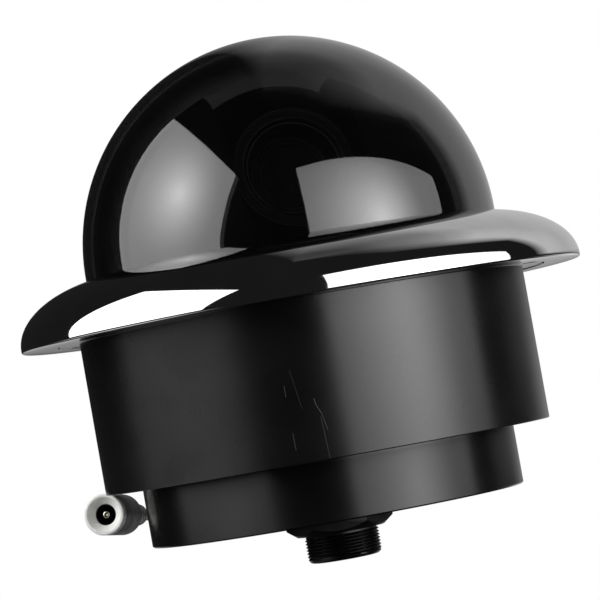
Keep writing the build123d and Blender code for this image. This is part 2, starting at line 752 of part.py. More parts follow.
# Head shells: a sphere with flat cheeks, split just ahead of the axles.
reach = head_radius + head_wall
slab = block(-head_half_width, head_half_width, -reach, reach, -reach, reach)
hollow_slab = block(-cheek_inner, cheek_inner, -reach, reach, -reach, reach)
hollow = Sphere(head_inner) & hollow_slab
skin = (Sphere(head_radius) & slab) - hollow
lens_plane = Plane(origin=(0, 0, 0), x_dir=(1, 0, 0), z_dir=(0, 1, 0))
skin -= lens_plane * rod(head_opening, -reach, 0)
cheek_hole = Plane.YZ * rod(axle_radius + screw_gap, -reach, reach)
skin -= cheek_hole
cheek_screw_places = around(axle_screw_circle, 3, 90)
for place in cheek_screw_places:
    skin -= Plane.YZ * (place * rod(axle_screw_radius + screw_gap, -reach, reach))
board_low = block_back
board_high = block_back + camera_board_thick
for x_side in (-1, 1):
    for z_side in (-1, 1):
        post = lens_plane * rod(camera_post_radius, board_high, reach)
        post = Pos(x_side * camera_hole_reach, 0, z_side * camera_hole_reach) * post
        skin += post & Sphere(head_inner + 0.5 * head_wall)
        bite = lens_plane * rod(m2_radius + screw_gap, board_high, board_high + camera_screw_bite + screw_gap)
        skin -= Pos(x_side * camera_hole_reach, 0, z_side * camera_hole_reach) * bite
for z_side in (-1, 1):
    boss = lens_plane * rod(head_boss_radius, head_boss_front, head_boss_back)
    skin += Pos(0, 0, z_side * head_boss_height) * boss & Sphere(head_inner + 0.5 * head_wall)
for z_side in (-1, 1):
    shank_hole = lens_plane * rod(m2_radius + screw_gap, head_boss_front + head_wall / 2, head_screw_seat)
    head_hole = lens_plane * rod(head_ratio * m2_radius + head_sink, head_screw_seat, reach)
    skin -= Pos(0, 0, z_side * head_boss_height) * (shank_hole + head_hole)
front_half = block(-reach, reach, -reach, head_split, -reach, reach)
back_half = block(-reach, reach, head_split, reach, -reach, reach)
head_place = Pos(0, 0, tilt_height) * Rot(-tilt_rest, 0, 0)
save("head_front_shell", head_place * (skin & front_half))
save("head_rear_shell", head_place * (skin & back_half))
head_screw_length = head_screw_seat - head_boss_front - head_wall
head_screw = lens_plane * Pos(0, 0, head_screw_seat) * cap_screw(m2_radius, head_screw_length)
head_screws = [Pos(0, 0, side * head_boss_height) * head_screw for side in (-1, 1)]
save("head_screws", *[head_place * item for item in head_screws])

# Tilt axles, gear and spacer on the cheeks.
axle = rod(axle_flange_radius, cheek_inner - axle_flange, cheek_inner)
axle += rod(axle_radius, cheek_inner, arm_outer + tilt_bush_flange + axle_overrun)
for place in cheek_screw_places:
    axle -= place * rod(axle_screw_radius + screw_gap, cheek_inner - axle_flange, cheek_inner)
right_axle = head_place * (Plane.YZ * axle)
save("tilt_axles", right_axle, mirror(right_axle, Plane.YZ))
gear_outer = head_half_width + tilt_gear_thick
axle_head = head_height_ratio * axle_screw_radius
screw_seat = gear_outer - axle_head - head_sink
sleeve_holes = rod(axle_radius + screw_gap, head_half_width, gear_outer)
for place in cheek_screw_places:
    sleeve_holes += place * rod(axle_screw_radius + screw_gap, head_half_width, gear_outer)
    counterbore = rod(head_ratio * axle_screw_radius + head_sink, screw_seat, gear_outer)
    sleeve_holes += place * counterbore
tilt_wheel = extrude(gear_face(wheel_teeth, tilt_module), tilt_gear_thick)
tilt_wheel = tilt_plane * Pos(0, 0, head_half_width) * tilt_wheel
save("tilt_gear", tilt_wheel - head_place * (Plane.YZ * sleeve_holes))
spacer = rod(axle_flange_radius + spacer_rim, head_half_width, gear_outer) - sleeve_holes
save("tilt_spacer", mirror(head_place * (Plane.YZ * spacer), Plane.YZ))
axle_screw = Pos(0, 0, screw_seat) * cap_screw(axle_screw_radius, axle_screw_length)
right_screws = [head_place * (Plane.YZ * (place * axle_screw)) for place in cheek_screw_places]
left_screws = [mirror(item, Plane.YZ) for item in right_screws]
save("axle_screws", *right_screws, *left_screws)

# Lens group along the head's own forward axis.
barrel = ring(barrel_radius, barrel_bore, barrel_front, barrel_back)
save("lens_barrel", head_place * (lens_plane * barrel))
bezel = rod(bezel_radius, bezel_front, barrel_front)
bezel = chamfer(bezel.edges().group_by(Axis.Z)[0], bezel_break)
bezel -= rod(bezel_throat, bezel_front, barrel_front)
bezel -= cone(bezel_mouth, bezel_throat, bezel_front, bezel_front + bezel_flare_depth)
save("lens_bezel", head_place * (lens_plane * bezel))
glass_seat = front_glass_back + front_glass_edge
front_glass_radius = barrel_bore - glass_gap
front_glass = Rot(180, 0, 0) * bulged_disc(front_glass_radius, 0, front_glass_edge, front_glass_bulge)
front_glass = Pos(0, 0, glass_seat) * front_glass
save("front_glass", head_place * (lens_plane * front_glass))
baffle_back = baffle_front + baffle_thick
baffle = ring(barrel_bore - glass_gap, baffle_throat, baffle_front, baffle_back)
save("lens_baffle", head_place * (lens_plane * baffle))
inner_glass = rod(baffle_throat + inner_glass_rim, baffle_back, baffle_back + inner_glass_edge)
bulge = Rot(180, 0, 0) * bulged_disc(baffle_throat - 3 * glass_gap, 0, glass_gap, inner_glass_bulge)
inner_glass += Pos(0, 0, baffle_back + glass_gap) * bulge
save("inner_glass", head_place * (lens_plane * inner_glass))

# Sensor block and camera board behind the lens.
sensor = block(-block_half, block_half, barrel_back, block_back, -block_half, block_half)
sensor += lens_plane * rod(barrel_bore + barrel_wall / 2, barrel_back, barrel_back + block_plate)
save("sensor_block", head_place * sensor)
board_side = camera_board_half
camera_board = block(-board_side, board_side, board_low, board_high, -board_side, board_side)
camera_places = [
    Pos(x_side * camera_hole_reach, 0, z_side * camera_hole_reach)
    for x_side in (-1, 1)
    for z_side in (-1, 1)
]
for place in camera_places:
    camera_board -= place * (lens_plane * rod(m2_radius + screw_gap, board_low, board_high))
save("camera_board", head_place * camera_board)
camera_screw = Rot(180, 0, 0) * cap_screw(m2_radius, camera_board_thick + camera_screw_bite)
camera_screw = Pos(0, 0, board_low) * camera_screw
save("camera_screws", *[head_place * (place * (lens_plane * camera_screw)) for place in camera_places])

# Liner on the turntable's rim, slotted for the lens from level to straight up.
liner_arc = CenterArc((0, dome_centre), liner_radius, 0, 90)
hollow_arc = CenterArc((0, dome_centre), liner_inner, 0, 90)
liner_skirt = Polyline(
    hollow_arc @ 0,
    (liner_inner, turntable_top),
    (liner_radius, turntable_top),
    liner_arc @ 0,
)
liner = turned(liner_arc + Line(liner_arc @ 1, hollow_arc @ 1) + hollow_arc + liner_skirt)
slot_reach = liner_radius + liner_wall
liner -= Pos(0, 0, tilt_height) * (lens_plane * rod(slot_half, -slot_reach, 0))
liner -= block(-slot_half, slot_half, -slot_reach, slot_half, tilt_height, dome_centre + slot_reach)
save("dome_liner", liner)

# Main board on standoffs in the rear cover.
main_board = rod(board_radius, board_bottom, board_top)
for place in around(standoff_circle, standoff_count, 45):
    main_board -= place * rod(m2_radius + screw_gap, board_bottom, board_top)
save("main_board", main_board)
standoff = rod(standoff_radius, cover_deck, board_bottom)
standoff += rod(m2_radius, cover_deck - standoff_stud, cover_deck)
standoff -= rod(m2_radius + screw_gap, board_bottom - board_screw_bite - screw_gap, board_bottom)
save("board_standoffs", *[place * standoff for place in around(standoff_circle, standoff_count, 45)])
board_screw = Pos(0, 0, board_top) * cap_screw(m2_radius, board_thick + board_screw_bite)
save("board_screws", *[place * board_screw for place in around(standoff_circle, standoff_count, 45)])
chip = block(-chip_half, chip_half, -chip_half, chip_half, board_top, board_top + chip_height)
chip_places = around(standoff_circle - chip_inset, chip_count, 180)
save("board_chips", *[place * chip for place in chip_places])
can = rod(can_radius, board_top, board_top + can_height)
can_places = around(standoff_circle - can_inset, can_count, 0)
save("board_capacitors", *[place * can for place in can_places])

# Cord boot in the rear cover's wall.
boot = rod(boot_neck_radius, boot_inner_end, boot_seat)
boot_shoulder = boot_seat + boot_flange
boot += rod(boot_flange_radius, boot_seat, boot_shoulder)
boot += cone(boot_shoulder_radius, boot_mouth_radius, boot_shoulder, boot_mouth)
save("cord_boot", exit_plane * boot)

# DC socket on the pigtail: collar, barrel, pin and strain relief.
heading = Vector(
    cos(radians(jack_heading)) * cos(radians(jack_dip)),
    sin(radians(jack_heading)) * cos(radians(jack_dip)),
    -sin(radians(jack_dip)),
)
jack_face = Vector(
    jack_reach * cos(radians(jack_bearing)),
    jack_reach * sin(radians(jack_bearing)),
    jack_height,
)
jack_plane = Plane(origin=jack_face, z_dir=heading)
jack_back = jack_collar + jack_barrel
relief_end = jack_back + relief_length
collar = rod(jack_radius, 0, jack_collar)
collar = fillet(collar.edges().group_by(Axis.Z)[0], jack_collar_round)
collar -= cone(jack_mouth_radius, jack_bore_radius, 0, jack_funnel)
collar -= rod(jack_bore_radius, jack_funnel, jack_collar)
save("jack_collar", jack_plane * collar)
jack_body = rod(jack_radius, jack_collar, jack_back)
jack_body = fillet(jack_body.edges().group_by(Axis.Z)[-1], jack_shoulder)
jack_body -= rod(jack_bore_radius, jack_collar, jack_bore_depth)
save("jack_barrel", jack_plane * jack_body)
contact = rod(jack_pin_radius, jack_pin_sink, jack_bore_depth)
contact = fillet(contact.edges().group_by(Axis.Z)[0], jack_pin_round)
save("jack_pin", jack_plane * contact)
relief = cone(relief_front_radius, relief_back_radius, jack_back, relief_end)
rib_pitch = relief_length / (relief_rib_count + 1)
for rib in range(relief_rib_count):
    middle = jack_back + rib_pitch * (rib + 1)
    share = (middle - jack_back) / relief_length
    radius = relief_front_radius + share * (relief_back_radius - relief_front_radius)
    groove_low = middle - relief_rib_width / 2
    relief -= ring(radius + 1, radius - relief_rib_depth, groove_low, groove_low + relief_rib_width)
save("jack_relief", jack_plane * relief)

# Power cord from the boot round to the strain relief.
exit_way = exit_plane.z_dir
cord_start = Vector(0, 0, cord_height) + exit_way * boot_mouth
cord_end = jack_face + heading * relief_end
loop = [
    Vector(along * drum_radius, back * drum_radius, cord_height - cord_sag * (step + 1))
    for step, (along, back) in enumerate(loop_ratios)
]
cord_points = [
    cord_start,
    cord_start + exit_way * cord_lead,
    *loop,
    cord_end + heading * cord_tail,
    cord_end,
]
bend_radii = []
for before, corner, after in zip(cord_points, cord_points[1:], cord_points[2:]):
    turn = (corner - before).get_angle(after - corner)
    shorter = min((corner - before).length, (after - corner).length)
    bend_radii.append(0.45 * shorter / tan(radians(turn / 2)))
cord_path = FilletPolyline(*cord_points, radius=bend_radii)
cord_section = Plane(origin=cord_start, z_dir=exit_way) * Circle(cord_radius)
power_cord = sweep(cord_section, path=cord_path)
save("power_cord", power_cord)
print("bend radii", [round(value, 1) for value in bend_radii])
print("cord points", [tuple(round(value, 2) for value in point) for point in cord_points])
print("cord length", round(cord_path.length, 2))
print("volume ratio", round(power_cord.volume / (pi * cord_radius**2 * cord_path.length), 4))
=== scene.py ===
import json
import math

import bpy
from mathutils import Matrix, Vector


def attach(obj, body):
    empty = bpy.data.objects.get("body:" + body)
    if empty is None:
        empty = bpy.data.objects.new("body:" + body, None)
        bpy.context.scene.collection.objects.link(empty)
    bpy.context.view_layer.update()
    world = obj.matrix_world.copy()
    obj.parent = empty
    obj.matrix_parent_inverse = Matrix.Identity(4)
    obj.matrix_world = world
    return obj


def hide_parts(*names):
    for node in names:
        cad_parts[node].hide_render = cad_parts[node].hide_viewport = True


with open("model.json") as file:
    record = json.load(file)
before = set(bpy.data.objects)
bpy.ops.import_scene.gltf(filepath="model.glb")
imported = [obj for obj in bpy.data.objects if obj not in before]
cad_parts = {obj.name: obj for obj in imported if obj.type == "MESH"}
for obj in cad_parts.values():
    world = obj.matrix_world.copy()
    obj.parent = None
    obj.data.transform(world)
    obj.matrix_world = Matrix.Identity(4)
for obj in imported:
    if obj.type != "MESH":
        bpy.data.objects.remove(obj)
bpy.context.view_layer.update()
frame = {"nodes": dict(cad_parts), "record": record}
mm = 0.001
scene = bpy.context.scene
scene.view_settings.view_transform = "Standard"
print("frame loaded")


def linear(text):
    channels = [int(text[place : place + 2], 16) / 255 for place in (1, 3, 5)]
    return [c / 12.92 if c <= 0.04045 else ((c + 0.055) / 1.055) ** 2.4 for c in channels] + [1.0]


def fillSockets(tree, node, sockets):
    for name, value in sockets.items():
        socket = node.inputs[int(name[1:]) if name[1:].isdigit() else name.replace("_", " ")]
        if isinstance(value, bpy.types.NodeSocket):
            tree.links.new(value, socket)
        else:
            socket.default_value = value


def addNode(tree, kind, settings=None, stops=(), out=0, **sockets):
    node = tree.nodes.new(kind)
    for name, value in (settings or {}).items():
        setattr(node, name, value)
    for number, (position, colour) in enumerate(stops):
        node.color_ramp.elements[number].position = position
        node.color_ramp.elements[number].color = linear(colour)
    fillSockets(tree, node, sockets)
    return node.outputs[out] if len(node.outputs) else node


def startMaterial(name):
    material = bpy.data.materials.new(name)
    material.use_nodes = True
    tree = material.node_tree
    place = addNode(tree, "ShaderNodeTexCoord", out="Object")
    return material, tree, tree.nodes["Principled BSDF"], place


# A surface with cloudy tone and gloss and a fine grit, as most moulded, cast and plated parts have.
def finish(
    name, dark, light, roughness, metallic=0.0, specular=0.5, cloudMm=6.0, gritMm=0.35, bump=0.06
):
    material, tree, surface, place = startMaterial(name)
    cloud = addNode(tree, "ShaderNodeTexNoise", Vector=place, Scale=1 / (cloudMm * mm), Detail=5.0)
    grit = addNode(tree, "ShaderNodeTexNoise", Vector=place, Scale=1 / (gritMm * mm), Detail=3.0)
    tone = addNode(tree, "ShaderNodeValToRGB", stops=[(0.35, dark), (0.65, light)], Fac=cloud)
    spread = 0.06
    low, high = roughness - spread, roughness + spread
    gloss = addNode(tree, "ShaderNodeMapRange", i0=cloud, i1=0.3, i2=0.7, i3=low, i4=high)
    relief = addNode(tree, "ShaderNodeBump", Strength=bump, Distance=0.1 * mm, Height=grit)
    look = {"Base_Color": tone, "Roughness": gloss, "Normal": relief, "Metallic": metallic}
    look["Specular_IOR_Level"] = specular
    fillSockets(tree, surface, look)
    return material


def activate(piece):
    bpy.ops.object.select_all(action="DESELECT")
    piece.select_set(True)
    bpy.context.view_layer.objects.active = piece


def smooth(piece, degrees=35):
    activate(piece)
    bpy.ops.object.shade_smooth_by_angle(angle=math.radians(degrees))


def soften(piece, widthMm, segments=3, degrees=30):
    activate(piece)
    rounding = piece.modifiers.new("rounding", "BEVEL")
    rounding.width = widthMm * mm
    rounding.segments = segments
    rounding.limit_method = "ANGLE"
    rounding.angle_limit = math.radians(degrees)
    bpy.ops.object.modifier_apply(modifier="rounding")


def carve(piece, tool, operation):
    activate(piece)
    cutter = piece.modifiers.new("cutter", "BOOLEAN")
    cutter.operation = operation
    cutter.object = tool
    bpy.ops.object.modifier_apply(modifier="cutter")
    bpy.data.objects.remove(tool)


# Draws an outline of (radius, height) points by extruding one point, and spins it round the Z axis.
def spun(name, outline, steps, closed=True):
    bpy.ops.object.select_all(action="DESELECT")
    bpy.ops.mesh.primitive_plane_add(size=mm)
    piece = bpy.context.object
    piece.name = piece.data.name = name
    bpy.ops.object.mode_set(mode="EDIT")
    bpy.ops.mesh.select_all(action="SELECT")
    bpy.ops.mesh.merge(type="CENTER")
    bpy.ops.transform.translate(value=(outline[0][0] * mm, 0, outline[0][1] * mm))
    route = outline + outline[:1] if closed else outline
    for last, point in zip(route, route[1:]):
        step = ((point[0] - last[0]) * mm, 0, (point[1] - last[1]) * mm)
        bpy.ops.mesh.extrude_region_move(TRANSFORM_OT_translate={"value": step})
    bpy.ops.mesh.select_all(action="SELECT")
    bpy.ops.mesh.remove_doubles(threshold=0.002 * mm)
    bpy.ops.mesh.spin(steps=steps, angle=2 * math.pi, center=(0, 0, 0), axis=(0, 0, 1))
    bpy.ops.mesh.select_all(action="SELECT")
    bpy.ops.mesh.remove_doubles(threshold=0.002 * mm)
    bpy.ops.mesh.normals_make_consistent(inside=False)
    bpy.ops.object.mode_set(mode="OBJECT")
    return piece


def arc(centre, radii, first, last, count):
    turns = [math.radians(first + (last - first) * i / count) for i in range(count + 1)]
    return [(centre[0] + radii[0] * math.cos(t), centre[1] + radii[1] * math.sin(t)) for t in turns]


def setDown(piece, matrix):
    piece.matrix_world = matrix
    activate(piece)
    bpy.ops.object.transform_apply(location=True, rotation=True, scale=True)


def dress(piece, material, body, slot, *nodes):
    piece.data.materials.clear()
    piece.data.materials.append(material)
    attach(piece, body)
    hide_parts(*nodes)


# The camera, at the photograph's place and roll: millimetres and degrees.
view = {
    "place": (-140.0, -818.47, -30.58),
    "heading": 9.7065,
    "pitch": 2.2459,
    "roll": -10.0799,
    "lens": 175.91,
    "sensor": 36,
    "nearest": 10,
}
cameraData = bpy.data.cameras.new("camera")
cameraData.lens = view["lens"]
cameraData.sensor_fit = "HORIZONTAL"
cameraData.sensor_width = view["sensor"]
cameraData.clip_start = view["nearest"] * mm
camera = bpy.data.objects.new("camera", cameraData)
scene.collection.objects.link(camera)
turnOut = Matrix.Rotation(math.radians(-view["heading"]), 4, "Z")
tip = Matrix.Rotation(math.radians(90 + view["pitch"]), 4, "X")
rollOver = Matrix.Rotation(math.radians(view["roll"]), 4, "Z")
standing = Matrix.Translation([c * mm for c in view["place"]])
camera.matrix_world = standing @ turnOut @ tip @ rollOver
scene.camera = camera
print("camera set")

# Finishes of moulded, cast and plated parts. The note above each says what it gives the eye.
# A near black, dull socket shell.
hardPvc = finish("hardPvc", "#0d0d0e", "#141415", 0.5, specular=0.12, cloudMm=4, gritMm=0.4)
# A dark, satin cord sheath.
softPvc = finish("softPvc", "#1b1b1c", "#242425", 0.45, specular=0.2, cloudMm=4, gritMm=0.4)
# Blackened and dull.
oxideSteel = finish("oxideSteel", "#060606", "#0a0a0a", 0.42, specular=0.28, cloudMm=3)
# A darker copy of the blackened steel, near black: painted shade, as the nipple sits in the drum's
# shadow.
threadSteel = finish("threadSteel", "#030303", "#060606", 0.34, specular=0.25, cloudMm=3)
# Bright grey screws.
zincPlate = finish("zincPlate", "#a9abad", "#c2c3c4", 0.3, metallic=1.0, cloudMm=2)
# A mirror with a warm tint.
nickelPin = finish("nickelPin", "#c9c5b8", "#e4e0d2", 0.12, metallic=1.0, cloudMm=1)
# Matt black rubber.
nitrile = finish("nitrile", "#161616", "#1e1e1e", 0.7, cloudMm=3)
# Grainy grey.
castAlloy = finish("castAlloy", "#8f9092", "#a3a4a6", 0.5, metallic=0.9, cloudMm=4, bump=0.15)
# Brown and porous.
bronze = finish("sinteredBronze", "#8a6535", "#a27a44", 0.42, metallic=0.9, cloudMm=2)
# Waxy white gears.
acetal = finish("whiteAcetal", "#d6d3ca", "#e2dfd6", 0.4)
# Moulded black with a soft sheen.
blackAbs = finish("blackAbs", "#0d0d0e", "#131314", 0.36, cloudMm=8)
# Grey, free of streaks.
motorCan = finish("drawnSteelCan", "#8e9093", "#a4a6a8", 0.32, metallic=1.0, cloudMm=5)
# Green lacquer.
solderMask = finish("solderMask", "#0f3d20", "#155029", 0.35, cloudMm=5)
# Dull black blocks.
chipEpoxy = finish("chipEpoxy", "#161617", "#202021", 0.55)
# Bright capacitor cans.
aluminiumCan = finish("aluminiumCan", "#b5b6b8", "#cbccce", 0.28, metallic=1.0)

# Coated optical glass: clear, faintly violet, with a sharp reflection.
coatedGlass, tree, surface, place = startMaterial("coatedGlass")
coating = addNode(tree, "ShaderNodeTexNoise", Vector=place, Scale=1 / (8 * mm), Detail=2.0)
tint = addNode(tree, "ShaderNodeValToRGB", stops=[(0.35, "#08070f"), (0.65, "#121022")], Fac=coating)
look = {"Base_Color": tint, "Roughness": 0.03, "Alpha": 0.22, "IOR": 1.7}
fillSockets(tree, surface, look)

# Black anodised aluminium, turned before dyeing: the turning lines draw highlights out along the axis.
drumFinish = {
    "turningMm": 0.4,  # spacing of the turning lines, drawn coarser than the real 0.05 to show
    "stretch": (0.03, 0.03, 1.0),  # draws the turning lines out round the drum
    "cloudMm": 22,
    "coverShine": (-44, 0.35),  # height and gloss where the duller rear cover starts
    "drumShine": (-43, 0.62),  # height and gloss where the drum starts
    "scratchMm": 0.1,
    "scratchEndMm": 0.2,
    "scratches": [  # ends as (x, z) on the front of the drum, and how bright each one is
        ((-18.6, -22.2), (-18.6, -24.9), 0.6),
        ((-16.6, -18.1), (-15.1, -28.7), 0.25),
        ((-11.6, -26.7), (-11.4, -28.3), 0.8),
        ((-11.4, -28.3), (-10.3, -30.9), 0.8),
        ((-10.3, -30.9), (-9.5, -35.3), 0.6),
        ((-10.7, -31.6), (-10.2, -42.5), 0.4),
        ((-18.5, -34.7), (-18.4, -39.0), 0.5),
    ],
}
anodised, tree, surface, place = startMaterial("blackAnodised")
cloudScale = 1 / (drumFinish["cloudMm"] * mm)
turningScale = 1 / (drumFinish["turningMm"] * mm)
stretch = drumFinish["stretch"]
cloud = addNode(tree, "ShaderNodeTexNoise", Vector=place, Scale=cloudScale, Detail=5.0)
flat = addNode(tree, "ShaderNodeVectorMath", {"operation": "MULTIPLY"}, i0=place, i1=stretch)
lines = addNode(tree, "ShaderNodeTexNoise", Vector=flat, Scale=turningScale, Detail=2.0)
tone = addNode(tree, "ShaderNodeValToRGB", stops=[(0.35, "#050605"), (0.65, "#080908")], Fac=cloud)
backward = addNode(tree, "ShaderNodeSeparateXYZ", i0=place, out="Y")
inFront = addNode(tree, "ShaderNodeMath", {"operation": "LESS_THAN"}, i0=backward, i1=0.0)
marks = 0.0
scratchWidth = drumFinish["scratchMm"] * mm
for upper, lower, brightness in drumFinish["scratches"]:
    first = Vector((upper[0], 0, upper[1])) * mm
    last = Vector((lower[0], 0, lower[1])) * mm
    way = (last - first).normalized()
    side = (way[2], 0, -way[0])
    half = (last - first).length / 2
    pastEnd = half + drumFinish["scratchEndMm"] * mm
    fromStart = addNode(tree, "ShaderNodeVectorMath", {"operation": "SUBTRACT"}, i0=place, i1=first)
    along = addNode(
        tree, "ShaderNodeVectorMath", {"operation": "DOT_PRODUCT"}, out="Value", i0=fromStart, i1=way
    )
    aside = addNode(
        tree, "ShaderNodeVectorMath", {"operation": "DOT_PRODUCT"}, out="Value", i0=fromStart, i1=side
    )
    off = addNode(tree, "ShaderNodeMath", {"operation": "ABSOLUTE"}, i0=aside)
    fine = addNode(
        tree, "ShaderNodeMapRange", i0=off, i1=0.0, i2=scratchWidth, i3=brightness, i4=0.0
    )
    middle = addNode(tree, "ShaderNodeMath", {"operation": "SUBTRACT"}, i0=along, i1=half)
    reach = addNode(tree, "ShaderNodeMath", {"operation": "ABSOLUTE"}, i0=middle)
    ends = addNode(tree, "ShaderNodeMapRange", i0=reach, i1=half, i2=pastEnd, i3=1.0, i4=0.0)
    mark = addNode(tree, "ShaderNodeMath", {"operation": "MULTIPLY"}, i0=fine, i1=ends)
    marks = addNode(tree, "ShaderNodeMath", {"operation": "MAXIMUM"}, i0=mark, i1=marks)
marks = addNode(tree, "ShaderNodeMath", {"operation": "MULTIPLY"}, i0=marks, i1=inFront)
scratched = linear("#5a5c58")
bared = addNode(tree, "ShaderNodeMix", {"data_type": "RGBA"}, out=2, i0=marks, i6=tone, i7=scratched)
gloss = addNode(tree, "ShaderNodeMapRange", i0=cloud, i1=0.3, i2=0.7, i3=0.25, i4=0.3)
relief = addNode(tree, "ShaderNodeBump", Strength=0.03, Distance=0.05 * mm, Height=lines)
roundAxis = addNode(tree, "ShaderNodeTangent", {"direction_type": "RADIAL", "axis": "Z"})
look = {"Base_Color": bared, "Roughness": gloss, "Normal": relief, "Tangent": roundAxis}
upward = addNode(tree, "ShaderNodeSeparateXYZ", i0=place, out="Z")
coverTop, dull = drumFinish["coverShine"]
drumLow, shiny = drumFinish["drumShine"]
shine = addNode(
    tree, "ShaderNodeMapRange", i0=upward, i1=coverTop * mm, i2=drumLow * mm, i3=dull, i4=shiny
)
look.update({"Specular_IOR_Level": shine, "Anisotropic": 0.65, "Anisotropic_Rotation": 0.25})
fillSockets(tree, surface, look)

# Polished chrome plate, with painted shade: a greyer colour on its underside, which faces the drum.
plate = {"hazeMm": 14, "shadedTo": 0.05, "unshadedFrom": 0.15}  # heights between which the painted shade on the underside fades out
chrome, tree, surface, place = startMaterial("chromePlate")
haze = addNode(tree, "ShaderNodeTexNoise", Vector=place, Scale=1 / (plate["hazeMm"] * mm), Detail=5.0)
tone = addNode(tree, "ShaderNodeValToRGB", stops=[(0.35, "#c6c6c6"), (0.65, "#d2d2d2")], Fac=haze)
polish = addNode(tree, "ShaderNodeMapRange", i0=haze, i1=0.3, i2=0.7, i3=0.02, i4=0.05)
upward = addNode(tree, "ShaderNodeSeparateXYZ", i0=place, out="Z")
shadedTo, unshadedFrom = plate["shadedTo"] * mm, plate["unshadedFrom"] * mm
undersideShade = addNode(tree, "ShaderNodeMapRange", i0=upward, i1=shadedTo, i2=unshadedFrom, i3=1.0, i4=0.0)
shadeGrey = linear("#aeaeae")
platedWithShade = addNode(tree, "ShaderNodeMix", {"data_type": "RGBA"}, out=2, i0=undersideShade, i6=tone, i7=shadeGrey)
fillSockets(tree, surface, {"Base_Color": platedWithShade, "Roughness": polish, "Metallic": 1.0})

# Smoked acrylic: a mirror-smooth dark skin that thickens towards the rim.
smoked, tree, surface, place = startMaterial("smokedAcrylic")
haze = addNode(tree, "ShaderNodeTexNoise", Vector=place, Scale=1 / (20 * mm), Detail=4.0)
tone = addNode(tree, "ShaderNodeValToRGB", stops=[(0.35, "#010102"), (0.65, "#030304")], Fac=haze)
gloss = addNode(tree, "ShaderNodeMapRange", i0=haze, i1=0.3, i2=0.7, i3=0.01, i4=0.035)
edgeOn = addNode(tree, "ShaderNodeLayerWeight", out="Facing", Blend=0.5)
body = addNode(tree, "ShaderNodeMapRange", i0=edgeOn, i1=0.45, i2=0.75, i3=0.68, i4=0.97)
look = {"Base_Color": tone, "Roughness": gloss, "Alpha": body, "IOR": 1.5, "Specular_IOR_Level": 1.0}
fillSockets(tree, surface, look)

# The DC socket, measured in millimetres from its face along the tail, which leads to the cord.
jack = {
    "face": Vector((-63.632, 18.970, -48.4)),
    "tail": Vector((0.34935, 0.93439, -0.06976)),
    "radius": 5.95,
    "rim": 4.95,
    "rimDrop": 0.15,
    "mouth": 3.07,
    "bore": 2.83,
    "funnel": 2.0,
    "collar": 2.8,
    "boreEnd": 9.5,
    "back": 21.3,
    "shoulder": 1.4,
    "reliefEnd": 37.3,
    "reliefFront": 4.5,
    "reliefBack": 3.2,
    "ribPitch": 3.2,
    "groove": 0.35,
    "pin": 1.05,
    "pinTip": 2.5,
    "pinRound": 0.4,
    "pinDimple": [(0, 0.25), (0.35, 0.2), (0.5, 0)],
    "boreEdge": 0.2,
    "faceGroove": [(5.02, 0.02), (5.1, 0.0), (5.16, 0.1), (5.26, 0.1), (5.32, 0.0)],
    "corner": 0.4,
    "ribs": 4,
    "ribTaper": 0.04,
    "ribTop": 0.4,
    "ribRoot": 0.32,
    "ribRound": 0.12,
    "side": (5.5, 5.9),  # radii between which the collar's face becomes its side
    "clear": 0.4,  # depth at which the painted shade on the side starts
}
# White nylon, slightly see-through, with painted shade: its side is darkened towards the barrel.
nylon, tree, surface, place = startMaterial("whiteNylon")
faceCentre = jack["face"] * mm
tail = jack["tail"]
fromFace = addNode(tree, "ShaderNodeVectorMath", {"operation": "SUBTRACT"}, i0=place, i1=faceCentre)
inward = addNode(
    tree, "ShaderNodeVectorMath", {"operation": "DOT_PRODUCT"}, out="Value", i0=fromFace, i1=tail
)
offAxis = addNode(
    tree, "ShaderNodeVectorMath", {"operation": "CROSS_PRODUCT"}, i0=fromFace, i1=tail
)
collarRadius = addNode(
    tree, "ShaderNodeVectorMath", {"operation": "LENGTH"}, out="Value", i0=offAxis
)
faceEnd, sideStart = jack["side"]
outer = addNode(tree, "ShaderNodeMapRange", i0=collarRadius, i1=faceEnd * mm, i2=sideStart * mm)
depth = addNode(
    tree, "ShaderNodeMapRange", i0=inward, i1=jack["clear"] * mm, i2=jack["collar"] * mm
)
# Painted shade: the collar's side turns grey with depth towards the barrel.
paintedSideShade = addNode(tree, "ShaderNodeMath", {"operation": "MULTIPLY"}, i0=outer, i1=depth)
tone = addNode(tree, "ShaderNodeValToRGB", stops=[(0.1, "#ebebe8"), (1.0, "#6a6a68")], Fac=paintedSideShade)
grit = addNode(tree, "ShaderNodeTexNoise", Vector=place, Scale=1 / (0.5 * mm), Detail=3.0)
gloss = addNode(tree, "ShaderNodeMapRange", i0=grit, i1=0.3, i2=0.7, i3=0.28, i4=0.4)
relief = addNode(tree, "ShaderNodeBump", Strength=0.05, Distance=0.1 * mm, Height=grit)
look = {"Base_Color": tone, "Roughness": gloss, "Normal": relief}
look.update({"Subsurface_Weight": 0.6, "Subsurface_Radius": (1, 1, 1), "Subsurface_Scale": 1.5 * mm})
fillSockets(tree, surface, look)

finishes = {
    "black_steel": oxideSteel,
    "zinc_steel": zincPlate,
    "rubber": nitrile,
    "cast_alloy": castAlloy,
    "bronze": bronze,
    "acetal_white": acetal,
    "black_plastic": blackAbs,
    "motor_can": motorCan,
    "circuit_board": solderMask,
    "chip_black": chipEpoxy,
    "can_silver": aluminiumCan,
    "gunmetal": softPvc,
    "white_plastic": nylon,
    "lens_glass": coatedGlass,
    "black_anodised": anodised,
    "chrome": chrome,
    "smoked": smoked,
}
for part in frame["record"]["subparts"]:
    solid = frame["nodes"][part["node"]]
    solid.data.materials.clear()
    solid.data.materials.append(finishes[part["material_slot"]])
print("finishes given")

